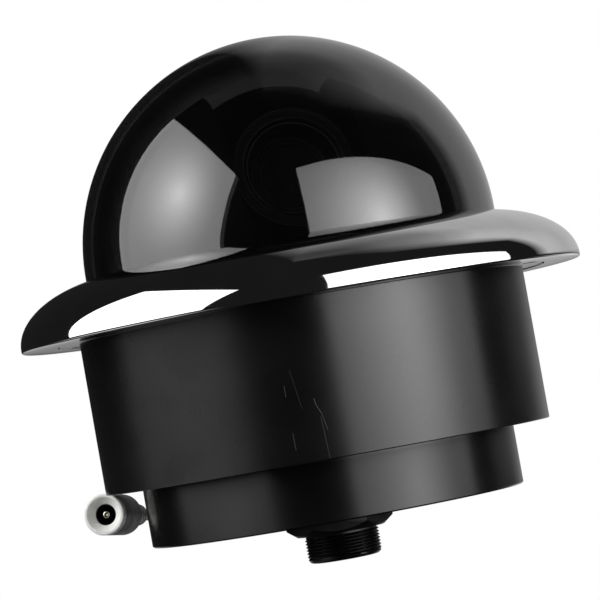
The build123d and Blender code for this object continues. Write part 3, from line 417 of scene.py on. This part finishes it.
# Power cord from the boot round to the strain relief.
cordRoute = {
    "points": [
        (14.757, 59.188, -51.55),
        (18.144, 72.772, -51.55),
        (12.065, 86.487, -52.55),
        (-2.032, 93.98, -53.55),
        (-24.003, 89.98, -54.55),
        (-42.92, 74.38, -52.54),
        (-50.6, 53.82, -51.0),
    ],
    "radius": 1.75,
    "length": 0.11156,
}
cordCurve = bpy.data.curves.new("powerCord", "CURVE")
cordCurve.dimensions = "3D"
cordSpline = cordCurve.splines.new("NURBS")
cordSpline.points.add(len(cordRoute["points"]) - 1)
for spot, point in zip(cordSpline.points, cordRoute["points"]):
    spot.co = (point[0] * mm, point[1] * mm, point[2] * mm, 1)
cordSpline.order_u = 3
cordSpline.use_endpoint_u = True
cordSpline.resolution_u = 16
cordCurve.bevel_depth = cordRoute["radius"] * mm
cordCurve.bevel_resolution = 6
powerCord = bpy.data.objects.new("powerCord", cordCurve)
scene.collection.objects.link(powerCord)
dress(powerCord, softPvc, "housing", "gunmetal", "power_cord")

# Collar, barrel, pin and strain relief of the DC socket, spun upright and then laid along the tail.
tailTurn = jack["tail"].to_track_quat("Z", "Y").to_matrix().to_4x4()
alongTail = Matrix.Translation(jack["face"] * mm) @ tailTurn
collarOutline = [(jack["mouth"], jack["collar"]), (jack["mouth"], jack["funnel"])]
collarOutline += [(jack["rim"], jack["rimDrop"])] + jack["faceGroove"]
cornerCentre = (jack["radius"] - jack["corner"], jack["corner"])
collarOutline += arc(cornerCentre, (jack["corner"],) * 2, -90, 0, 5)
collarOutline += [(jack["radius"], jack["collar"])]
jackCollar = spun("jackCollar", collarOutline, 72)
setDown(jackCollar, alongTail)
smooth(jackCollar)
dress(jackCollar, nylon, "housing", "white_plastic", "jack_collar")
barrelOutline = [(0, jack["boreEnd"]), (jack["bore"], jack["boreEnd"])]
barrelOutline += [(jack["bore"], jack["collar"] + jack["boreEdge"])]
barrelOutline += [(jack["mouth"], jack["collar"])]
barrelOutline += [(jack["radius"], jack["collar"])]
shoulderEnd = jack["radius"] - jack["shoulder"]
barrelOutline += arc((shoulderEnd, jack["back"] - jack["shoulder"]), (jack["shoulder"],) * 2, 0, 90, 8)
barrelOutline += [(0, jack["back"])]
jackBarrel = spun("jackBarrel", barrelOutline, 72, closed=False)
setDown(jackBarrel, alongTail)
smooth(jackBarrel)
dress(jackBarrel, hardPvc, "housing", "gunmetal", "jack_barrel")
pinOutline = [(across, jack["pinTip"] + deep) for across, deep in jack["pinDimple"]]
pinCentre = (jack["pin"] - jack["pinRound"], jack["pinTip"] + jack["pinRound"])
pinOutline += arc(pinCentre, (jack["pinRound"],) * 2, -90, 0, 6)
pinOutline += [(jack["pin"], jack["boreEnd"]), (0, jack["boreEnd"])]
jackPin = spun("jackPin", pinOutline, 36, closed=False)
setDown(jackPin, alongTail)
smooth(jackPin)
dress(jackPin, nickelPin, "housing", "zinc_steel", "jack_pin")
reliefOutline = [(0, jack["back"]), (jack["reliefFront"], jack["back"])]
ribTop, ribRoot, ribTaper = jack["ribTop"], jack["ribRoot"], jack["ribTaper"]
narrowing = (jack["reliefBack"] - jack["reliefFront"]) / (jack["ribs"] + 1)
for rib in range(jack["ribs"]):
    middle = jack["back"] + jack["ribPitch"] * (rib + 1)
    outside = jack["reliefFront"] + narrowing * (rib + 1)
    inside = outside - jack["groove"]
    reliefOutline += [(outside + ribTaper, middle - ribTop), (inside, middle - ribRoot)]
    reliefOutline += [(inside, middle + ribRoot), (outside - ribTaper, middle + ribTop)]
reliefOutline += [(jack["reliefBack"], jack["reliefEnd"]), (0, jack["reliefEnd"])]
jackRelief = spun("jackRelief", reliefOutline, 48, closed=False)
soften(jackRelief, jack["ribRound"], 2)
setDown(jackRelief, alongTail)
smooth(jackRelief)
dress(jackRelief, softPvc, "housing", "gunmetal", "jack_relief")
print("cord and socket made")

# Trim ring.
trim = {
    "centre": (52.0, 1.0),
    "radii": (28.0, 16.25),
    "lipAngle": 75.1,
    "bore": 69.8,
    "pocket": 63.6,
    "seat": 11.5,
    "lipUnder": 14.8,
    "outer": 80.0,
    "edge": 0.6,
}
trimOutline = arc(trim["centre"], trim["radii"], 0, trim["lipAngle"], 64)
trimOutline += [(trimOutline[-1][0], trim["lipUnder"]), (trim["pocket"], trim["lipUnder"])]
trimOutline += [(trim["pocket"], trim["seat"]), (trim["bore"], trim["seat"]), (trim["bore"], 0)]
trimOutline += arc((trim["outer"] - trim["edge"], trim["edge"]), (trim["edge"],) * 2, -90, 0, 6)
trimRing = spun("trimRing", trimOutline, 256)
smooth(trimRing)
dress(trimRing, chrome, "housing", "chrome", "trim_ring")
print("trim ring turned")

# Smoked dome.
dome = {"radius": 58.7, "inner": 55.7, "centre": 18.2, "flange": 63.2, "low": 11.5, "flangeTop": 14.0}
domeOutline = arc((0, dome["centre"]), (dome["radius"],) * 2, 90, 0, 72)
domeOutline += [(dome["radius"], dome["flangeTop"]), (dome["flange"], dome["flangeTop"])]
domeOutline += [(dome["flange"], dome["low"]), (dome["inner"], dome["low"])]
domeOutline += arc((0, dome["centre"]), (dome["inner"],) * 2, 0, 90, 72)
domeBubble = spun("domeBubble", domeOutline, 192, closed=False)
smooth(domeBubble)
dress(domeBubble, smoked, "housing", "smoked", "dome_bubble")
print("dome turned")

# Sizes of the lens, along its axis from the tilt axle.
lens = {
    "height": 32.0,
    "tilt": 10.0,
    "bezel": 16.9,
    "mouth": 13.9,
    "throat": 12.7,
    "front": -29.2,
    "barrelFront": -27.0,
    "throatDeep": 1.4,
    "lip": 0.3,
    "corner": 0.45,
    "groove": (15.9, 16.2, 0.25),
    "grooveSlope": 0.05,
    "baffle": 13.2,
    "baffleHole": 8.0,
    "baffleFront": -19.5,
    "baffleBack": -18.3,
    "ribs": 7,
    "ribReach": 2.0,
    "ribEdge": 0.5,
    "ribRoom": 0.6,
    "ribCrest": (0.35, 0.05),  # share of the rib's step, and the drop there
    "ribValley": (0.4, 0.55),
    "holeEdge": (0.1, 0.15),
    "baffleRound": 0.08,
    "glass": 9.2,
    "glassBack": -16.9,
    "glassStep": (7.6, 7.5, 0.2),
    "bulgeRim": 0.1,
    "bulge": 5.6,
    "bulgeHigh": 1.0,
    "highlightRings": [  # radius of each ring of painted highlight, and how bright it is
        (16.7, 0.6),
        (16.1, 0.3),
        (14.1, 0.35),
        (12.9, 0.6),
        (10.6, 1.0),
        (9.5, 0.8),
        (8.2, 1.0),
    ],
    "highlightMm": 0.2,
    "cloudMm": 5,
}

# Black lens paint, with painted highlights: fine light grey rings along the turned edges.
lensBlack, tree, surface, place = startMaterial("lensBlack")
tilt = math.radians(lens["tilt"])
lensCentre = (0, 0, lens["height"] * mm)
lensWay = (0, -math.cos(tilt), math.sin(tilt))
fromCentre = addNode(
    tree, "ShaderNodeVectorMath", {"operation": "SUBTRACT"}, i0=place, i1=lensCentre
)
offAxis = addNode(
    tree, "ShaderNodeVectorMath", {"operation": "CROSS_PRODUCT"}, i0=fromCentre, i1=lensWay
)
ringRadius = addNode(
    tree, "ShaderNodeVectorMath", {"operation": "LENGTH"}, out="Value", i0=offAxis
)
paintedHighlights = 0.0
highlightWidth = lens["highlightMm"] * mm
# Painted highlights: a light grey ring at each turned edge.
for edge, glint in lens["highlightRings"]:
    beside = addNode(tree, "ShaderNodeMath", {"operation": "SUBTRACT"}, i0=ringRadius, i1=edge * mm)
    beside = addNode(tree, "ShaderNodeMath", {"operation": "ABSOLUTE"}, i0=beside)
    line = addNode(tree, "ShaderNodeMapRange", i0=beside, i1=0.0, i2=highlightWidth, i3=glint, i4=0.0)
    paintedHighlights = addNode(tree, "ShaderNodeMath", {"operation": "MAXIMUM"}, i0=line, i1=paintedHighlights)
cloud = addNode(tree, "ShaderNodeTexNoise", Vector=place, Scale=1 / (lens["cloudMm"] * mm), Detail=5.0)
tone = addNode(tree, "ShaderNodeValToRGB", stops=[(0.35, "#020202"), (0.65, "#040404")], Fac=cloud)
highlightGrey = linear("#e0e0e2")
paintAndHighlights = addNode(tree, "ShaderNodeMix", {"data_type": "RGBA"}, out=2, i0=paintedHighlights, i6=tone, i7=highlightGrey)
gloss = addNode(tree, "ShaderNodeMapRange", i0=cloud, i1=0.3, i2=0.7, i3=0.1, i4=0.18)
fillSockets(tree, surface, {"Base_Color": paintAndHighlights, "Roughness": gloss, "Specular_IOR_Level": 0.4})

# Lens bezel, baffle and inner glass, spun upright and then laid along the lens axis.
lensTurn = Matrix.Rotation(math.radians(-90 - lens["tilt"]), 4, "X")
alongLens = Matrix.Translation((0, 0, lens["height"] * mm)) @ lensTurn
grooveIn, grooveOut, grooveDeep = lens["groove"]
front, lip, corner, slope = lens["front"], lens["lip"], lens["corner"], lens["grooveSlope"]
bezelOutline = [(lens["throat"], lens["barrelFront"]), (lens["throat"], front + lens["throatDeep"])]
bezelOutline += arc((lens["mouth"] + lip, front + lip), (lip, lip), 180, 270, 4)
bezelOutline += [(grooveIn, front), (grooveIn + slope, front + grooveDeep)]
bezelOutline += [(grooveOut - slope, front + grooveDeep), (grooveOut, front)]
bezelOutline += arc((lens["bezel"] - corner, front + corner), (corner, corner), -90, 0, 5)
bezelOutline += [(lens["bezel"], lens["barrelFront"])]
lensBezel = spun("lensBezel", bezelOutline, 128)
setDown(lensBezel, alongLens)
smooth(lensBezel)
dress(lensBezel, lensBlack, "head", "black_anodised", "lens_bezel")
hole, ringFront, ringBack = lens["baffleHole"], lens["baffleFront"], lens["baffleBack"]
ribFirst = ringFront - lens["ribReach"]
baffleOutline = [(lens["baffle"], ringBack), (lens["baffle"], ribFirst)]
ribStep = (lens["baffle"] - lens["ribRoom"] - hole) / lens["ribs"]
for rib in range(lens["ribs"]):
    crest = lens["baffle"] - lens["ribEdge"] - rib * ribStep
    ribFront = ribFirst + lens["ribReach"] * rib / lens["ribs"]
    baffleOutline += [(crest, ribFront)]
    for share, drop in (lens["ribCrest"], lens["ribValley"]):
        baffleOutline += [(crest - share * ribStep, ribFront + drop)]
edgeWide, edgeDeep = lens["holeEdge"]
baffleOutline += [(hole + edgeWide, ringFront), (hole, ringFront + edgeDeep), (hole, ringBack)]
lensBaffle = spun("lensBaffle", baffleOutline, 128)
soften(lensBaffle, lens["baffleRound"], 2)
setDown(lensBaffle, alongLens)
smooth(lensBaffle)
dress(lensBaffle, lensBlack, "head", "black_plastic", "lens_baffle")
stepOut, stepIn, stepHigh = lens["glassStep"]
glassOutline = [(0, lens["glassBack"]), (lens["glass"], lens["glassBack"])]
glassOutline += [(lens["glass"], ringBack), (stepOut, ringBack), (stepIn, ringBack - stepHigh)]
glassOutline += [(lens["bulge"] + lens["bulgeRim"], ringBack - stepHigh)]
glassOutline += arc((0, ringBack - stepHigh / 2), (lens["bulge"], lens["bulgeHigh"]), 0, -90, 12)
innerGlass = spun("innerGlass", glassOutline, 96, closed=False)
setDown(innerGlass, alongLens)
smooth(innerGlass)
dress(innerGlass, coatedGlass, "head", "lens_glass", "inner_glass")
frame["nodes"]["lens_barrel"].data.materials[0] = lensBlack
print("lens ringed")

# Upper drum.
drum = {
    "radius": 63.5,
    "inner": 60.5,
    "bottom": -43.05,
    "top": 11.5,
    "flange": 69.5,
    "flangeLow": 0.3,
    "opening": 38.0,
    "floor": 3.0,
    "screwCircle": 66.5,
    "screws": 8,
    "headHole": 2.4,
    "clampLow": 6.5,
    "screwHole": 1.4,
    "holePast": 1.0,  # how far the drill goes past both ends
    "edge": 0.3,
}
drumOutline = [
    (drum["opening"], drum["bottom"]),
    (drum["radius"], drum["bottom"]),
    (drum["radius"], drum["flangeLow"]),
    (drum["flange"], drum["flangeLow"]),
    (drum["flange"], drum["top"]),
    (drum["inner"], drum["top"]),
    (drum["inner"], drum["bottom"] + drum["floor"]),
    (drum["opening"], drum["bottom"] + drum["floor"]),
]
upperDrum = spun("upperDrum", drumOutline, 192)
soften(upperDrum, drum["edge"])
drillLow, drillTop = -drum["holePast"], drum["top"] + drum["holePast"]
holeOutline = [(0, drillLow), (drum["headHole"], drillLow), (drum["headHole"], drum["clampLow"])]
holeOutline += [(drum["screwHole"], drum["clampLow"]), (drum["screwHole"], drillTop), (0, drillTop)]
for number in range(drum["screws"]):
    screwHole = spun("screwHole", holeOutline, 24, closed=False)
    turn = Matrix.Rotation(2 * math.pi * (number + 0.5) / drum["screws"], 4, "Z")
    setDown(screwHole, turn @ Matrix.Translation((drum["screwCircle"] * mm, 0, 0)))
    carve(upperDrum, screwHole, "DIFFERENCE")
smooth(upperDrum)
dress(upperDrum, anodised, "housing", "black_anodised", "upper_drum")
print("drum turned")

# Threaded nipple: spun plain, with the thread then drawn in turn by turn.
nipple = {
    "radius": 10.65,
    "bore": 7.5,
    "low": -72.25,
    "round": 1.8,
    "threadTop": -64.95,
    "root": 0.52,
    "pitch": 0.9,
    "groove": (-64.85, -64.35, 10.15),
    "flangeLow": -55.85,
    "flangeTop": -52.85,
    "flange": 14.0,
    "sides": 128,
    "rows": 11,
    "flank": 1.15,  # steepness of the thread's sides, which leaves its roots flat
    "boreWall": 0.2,
    "shoulder": 0.01,
}
threadLow = nipple["low"] + nipple["round"]
nippleOutline = [(nipple["bore"], nipple["low"])]
nippleOutline += arc((nipple["radius"] - nipple["round"], threadLow), (nipple["round"],) * 2, -90, 0, 8)
rowStep = nipple["pitch"] / nipple["rows"]
rowCount = int((nipple["threadTop"] - threadLow) / rowStep)
nippleOutline += [(nipple["radius"], threadLow + rowStep * (row + 1)) for row in range(rowCount)]
grooveLow, grooveHigh, grooveRadius = nipple["groove"]
nippleOutline += [(grooveRadius, grooveLow), (grooveRadius, grooveHigh)]
nippleOutline += [(nipple["radius"], grooveHigh + nipple["shoulder"])]
nippleOutline += [(nipple["radius"], nipple["flangeLow"])]
nippleOutline += [(nipple["flange"], nipple["flangeLow"]), (nipple["flange"], nipple["flangeTop"])]
nippleOutline += [(nipple["bore"], nipple["flangeTop"])]
threadedNipple = spun("threadedNipple", nippleOutline, nipple["sides"])
for vertex in threadedNipple.data.vertices:
    spot = vertex.co / mm
    reach = math.hypot(spot.x, spot.y)
    if spot.z < nipple["threadTop"] and reach > nipple["bore"] + nipple["boreWall"]:
        turn = math.atan2(spot.y, spot.x) / (2 * math.pi)
        phase = (spot.z / nipple["pitch"] - turn) % 1.0
        valley = nipple["root"] * min(1.0, nipple["flank"] * abs(2 * phase - 1))
        share = min(reach, nipple["radius"] - valley) / reach
        vertex.co = (vertex.co.x * share, vertex.co.y * share, vertex.co.z)
smooth(threadedNipple, 50)
dress(threadedNipple, threadSteel, "housing", "black_steel", "threaded_nipple")
print("nipple threaded")

# Hex locknut: a six-sided prism, turned down to a cone at its lower corners and bored.
nut = {
    "bore": 10.75,
    "corner": 15.25,
    "low": -64.35,
    "height": 4.5,
    "turn": -9.7,
    "flat": 12.45,
    "slope": 1.3,
    "drill": 10.0,
    "edge": 0.15,
}
nutHigh = nut["height"] * mm
nutMiddle = (0, 0, (nut["low"] + nut["height"] / 2) * mm)
nutTurn = (0, 0, math.radians(nut["turn"] + 30))
bpy.ops.object.select_all(action="DESELECT")
bpy.ops.mesh.primitive_cylinder_add(
    vertices=6, radius=nut["corner"] * mm, depth=nutHigh, location=nutMiddle, rotation=nutTurn
)
hexLocknut = bpy.context.object
hexLocknut.name = hexLocknut.data.name = "hexLocknut"
bpy.ops.object.transform_apply(location=True, rotation=True, scale=True)
coneLow = nut["flat"] * mm
coneTop = (nut["flat"] + nut["slope"] * nut["height"]) * mm
bpy.ops.object.select_all(action="DESELECT")
bpy.ops.mesh.primitive_cone_add(
    vertices=192, radius1=coneLow, radius2=coneTop, depth=nutHigh, location=nutMiddle
)
carve(hexLocknut, bpy.context.object, "INTERSECT")
bpy.ops.object.select_all(action="DESELECT")
bpy.ops.mesh.primitive_cylinder_add(
    vertices=96, radius=nut["bore"] * mm, depth=nut["drill"] * mm, location=nutMiddle
)
carve(hexLocknut, bpy.context.object, "DIFFERENCE")
soften(hexLocknut, nut["edge"], 2, 25)
smooth(hexLocknut, 20)
dress(hexLocknut, oxideSteel, "housing", "black_steel", "hex_locknut")
print("locknut made")

# A pale floor that fades out towards its rim and isn't seen from below. Metres.
ground = {"height": -0.35, "radius": 0.9, "solid": 0.12, "gone": 0.5}
floorPaint, tree, surface, place = startMaterial("floorPaint")
around = addNode(tree, "ShaderNodeVectorMath", {"operation": "MULTIPLY"}, i0=place, i1=(1, 1, 0))
away = addNode(tree, "ShaderNodeVectorMath", {"operation": "LENGTH"}, out="Value", i0=around)
solidTo, goneFrom = ground["solid"], ground["gone"]
fade = addNode(tree, "ShaderNodeMapRange", i0=away, i1=solidTo, i2=goneFrom, i3=1.0, i4=0.0)
beneath = addNode(tree, "ShaderNodeNewGeometry", out="Backfacing")
above = addNode(tree, "ShaderNodeMath", {"operation": "SUBTRACT"}, i0=1.0, i1=beneath)
fade = addNode(tree, "ShaderNodeMath", {"operation": "MULTIPLY"}, i0=fade, i1=above)
fillSockets(tree, surface, {"Base_Color": linear("#ececec"), "Roughness": 0.9, "Alpha": fade})
bpy.ops.object.select_all(action="DESELECT")
bpy.ops.mesh.primitive_circle_add(vertices=96, radius=ground["radius"], fill_type="NGON")
floor = bpy.context.object
floor.name = "floor"
bpy.ops.transform.translate(value=(0, 0, ground["height"]))
bpy.ops.object.transform_apply(location=True)
floor.data.materials.append(floorPaint)
floor.visible_glossy = False
floor.visible_diffuse = False


boxCloth = {"watts": 4, "falloff": 2.2}  # watts on each square metre, and how fast the hot spot fades


# A rectangular soft box whose cloth is brightest near one spot.
def softBox(name, box):
    lamp = bpy.data.lights.new(name, "AREA")
    lamp.shape = "RECTANGLE"
    lamp.size, lamp.size_y = box["size"]
    lamp.energy = boxCloth["watts"] * lamp.size * lamp.size_y
    lamp.use_nodes = True
    tree = lamp.node_tree
    spot = addNode(tree, "ShaderNodeNewGeometry", out="Position")
    away = addNode(
        tree, "ShaderNodeVectorMath", {"operation": "DISTANCE"}, out="Value", i0=spot, i1=box["hot"]
    )
    near = addNode(tree, "ShaderNodeMapRange", i0=away, i1=0.0, i2=box["spread"], i3=1.0, i4=0.0)
    glow = addNode(tree, "ShaderNodeMath", {"operation": "POWER"}, i0=near, i1=boxCloth["falloff"])
    level = addNode(tree, "ShaderNodeMapRange", i0=glow, i3=box["edge"], i4=box["peak"])
    tree.links.new(level, tree.nodes["Emission"].inputs["Strength"])
    holder = bpy.data.objects.new(name, lamp)
    side = Vector(box["across"]).normalized()
    back = Vector(box["outward"]).normalized()
    turn = Matrix((side, back.cross(side), back)).transposed().to_4x4()
    holder.matrix_world = Matrix.Translation(box["centre"]) @ turn
    scene.collection.objects.link(holder)


leftBox = {
    "centre": (-0.985, -0.378, 0.578),
    "across": (-0.124, -0.992, 0.0),
    "outward": (-0.931, 0.116, 0.346),
    "size": (1.645, 1.239),
    "hot": (-0.972, -0.32, 0.6),
    "edge": 2.1,
    "peak": 7.3,
    "spread": 0.85,
}
rightBox = {
    "centre": (1.049, -0.568, 0.128),
    "across": (0.956, 0.292, -0.014),
    "outward": (0.293, -0.955, 0.041),
    "size": (2.149, 0.958),
    "hot": (0.622, -0.691, 0.05),
    "edge": 1.6,
    "peak": 7.5,
    "spread": 0.85,
}
softBox("leftBox", leftBox)
softBox("rightBox", rightBox)

# White behind the object. In mirrors there is a pale wall at the right rear, with a pale ground
# behind and a pale table at the left. Rises and edges are shares of a ray's length.
room = {
    "lean": (33, 63),  # heights in degrees between which the wall's near edge leans forward
    "wallStart": (102, 58),  # degrees round from the front, at those two heights
    "wallWhole": (112, 98),
    "wallTo": (166, 177),
    "wallLevel": (47, 56, 0.55, 0.28),  # heights in degrees, and the brightness at each
    "wallTop": (56, 76, 1.0, 0.2),
    "wallGlow": (115, 135, 1.3, 1.0),  # brighter towards its near edge
    "skirting": (-0.01, 0.06),  # rises between which the wall comes up from the ground
    "ground": (0.4, 1.0, -1.05),  # the way in which the ground lies
    "groundEdge": (1.0, 1.3),
    "groundEnd": (-0.5, -0.25),
    "table": (-0.9, -0.8, -0.4, -0.25),  # rises at which the table starts, is whole, fades and ends
    "tableEdge": (-0.85, -0.6),
    "tableLevel": 1.0,
    "dim": 0.014,
}
world = bpy.data.worlds.new("surroundings")
scene.world = world
world.use_nodes = True
tree = world.node_tree
tree.nodes.clear()
heading = addNode(tree, "ShaderNodeTexCoord", out="Generated")
east = addNode(tree, "ShaderNodeSeparateXYZ", i0=heading, out="X")
north = addNode(tree, "ShaderNodeSeparateXYZ", i0=heading, out="Y")
rise = addNode(tree, "ShaderNodeSeparateXYZ", i0=heading, out="Z")
south = addNode(tree, "ShaderNodeMath", {"operation": "MULTIPLY"}, i0=north, i1=-1.0)
bearing = addNode(tree, "ShaderNodeMath", {"operation": "ARCTAN2"}, i0=east, i1=south)
bearing = addNode(tree, "ShaderNodeMath", {"operation": "DEGREES"}, i0=bearing)
steep = addNode(tree, "ShaderNodeMath", {"operation": "ARCSINE"}, i0=rise)
steep = addNode(tree, "ShaderNodeMath", {"operation": "DEGREES"}, i0=steep)
leanFrom, leanTo = room["lean"]
startLow, startHigh = room["wallStart"]
wholeLow, wholeHigh = room["wallWhole"]
start = addNode(tree, "ShaderNodeMapRange", i0=steep, i1=leanFrom, i2=leanTo, i3=startLow, i4=startHigh)
whole = addNode(tree, "ShaderNodeMapRange", i0=steep, i1=leanFrom, i2=leanTo, i3=wholeLow, i4=wholeHigh)
nearEdge = addNode(tree, "ShaderNodeMapRange", i0=bearing, i1=start, i2=whole)
fadeFrom, fadeTo = room["wallTo"]
farEdge = addNode(tree, "ShaderNodeMapRange", i0=bearing, i1=fadeFrom, i2=fadeTo, i3=1.0, i4=0.0)
skirtLow, skirtHigh = room["skirting"]
skirting = addNode(tree, "ShaderNodeMapRange", i0=rise, i1=skirtLow, i2=skirtHigh)
levelFrom, levelTo, brightest, dimmest = room["wallLevel"]
wall = addNode(tree, "ShaderNodeMapRange", i0=steep, i1=levelFrom, i2=levelTo, i3=brightest, i4=dimmest)
topFrom, topTo, full, faint = room["wallTop"]
top = addNode(tree, "ShaderNodeMapRange", i0=steep, i1=topFrom, i2=topTo, i3=full, i4=faint)
glowFrom, glowTo, glowing, plain = room["wallGlow"]
glow = addNode(tree, "ShaderNodeMapRange", i0=bearing, i1=glowFrom, i2=glowTo, i3=glowing, i4=plain)
for mask in (nearEdge, farEdge, skirting, top, glow):
    wall = addNode(tree, "ShaderNodeMath", {"operation": "MULTIPLY"}, i0=wall, i1=mask)
groundWay = room["ground"]
towards = addNode(
    tree, "ShaderNodeVectorMath", {"operation": "DOT_PRODUCT"}, out="Value", i0=heading, i1=groundWay
)
edgeFrom, edgeTo = room["groundEdge"]
sweep = addNode(tree, "ShaderNodeMapRange", i0=towards, i1=edgeFrom, i2=edgeTo)
endFrom, endTo = room["groundEnd"]
groundEnd = addNode(tree, "ShaderNodeMapRange", i0=rise, i1=endFrom, i2=endTo)
sweep = addNode(tree, "ShaderNodeMath", {"operation": "MULTIPLY"}, i0=sweep, i1=groundEnd)
hiddenTo, shownFrom, shownTo, hiddenFrom = room["table"]
leftOf, rightOf = room["tableEdge"]
tableLevel = room["tableLevel"]
table = addNode(tree, "ShaderNodeMapRange", i0=east, i1=leftOf, i2=rightOf, i3=tableLevel, i4=0.0)
tableNear = addNode(tree, "ShaderNodeMapRange", i0=rise, i1=hiddenTo, i2=shownFrom)
tableFar = addNode(tree, "ShaderNodeMapRange", i0=rise, i1=shownTo, i2=hiddenFrom, i3=1.0, i4=0.0)
for mask in (tableNear, tableFar):
    table = addNode(tree, "ShaderNodeMath", {"operation": "MULTIPLY"}, i0=table, i1=mask)
pale = addNode(tree, "ShaderNodeMath", {"operation": "MAXIMUM"}, i0=wall, i1=sweep)
pale = addNode(tree, "ShaderNodeMath", {"operation": "MAXIMUM"}, i0=pale, i1=table)
glossy = addNode(tree, "ShaderNodeLightPath", out="Is Glossy Ray")
mirrored = addNode(tree, "ShaderNodeMath", {"operation": "MULTIPLY"}, i0=glossy, i1=pale)
direct = addNode(tree, "ShaderNodeLightPath", out="Is Camera Ray")
through = addNode(tree, "ShaderNodeLightPath", out="Is Transmission Ray")
white = addNode(tree, "ShaderNodeMath", {"operation": "MAXIMUM"}, i0=direct, i1=through)
white = addNode(tree, "ShaderNodeMath", {"operation": "MAXIMUM"}, i0=white, i1=mirrored)
dim = addNode(tree, "ShaderNodeBackground", Color=linear("#ffffff"), Strength=room["dim"])
bright = addNode(tree, "ShaderNodeBackground", Color=linear("#ffffff"), Strength=1.0)
mixed = addNode(tree, "ShaderNodeMixShader", i0=white, i1=dim, i2=bright)
addNode(tree, "ShaderNodeOutputWorld", i0=mixed)
print("lights set")
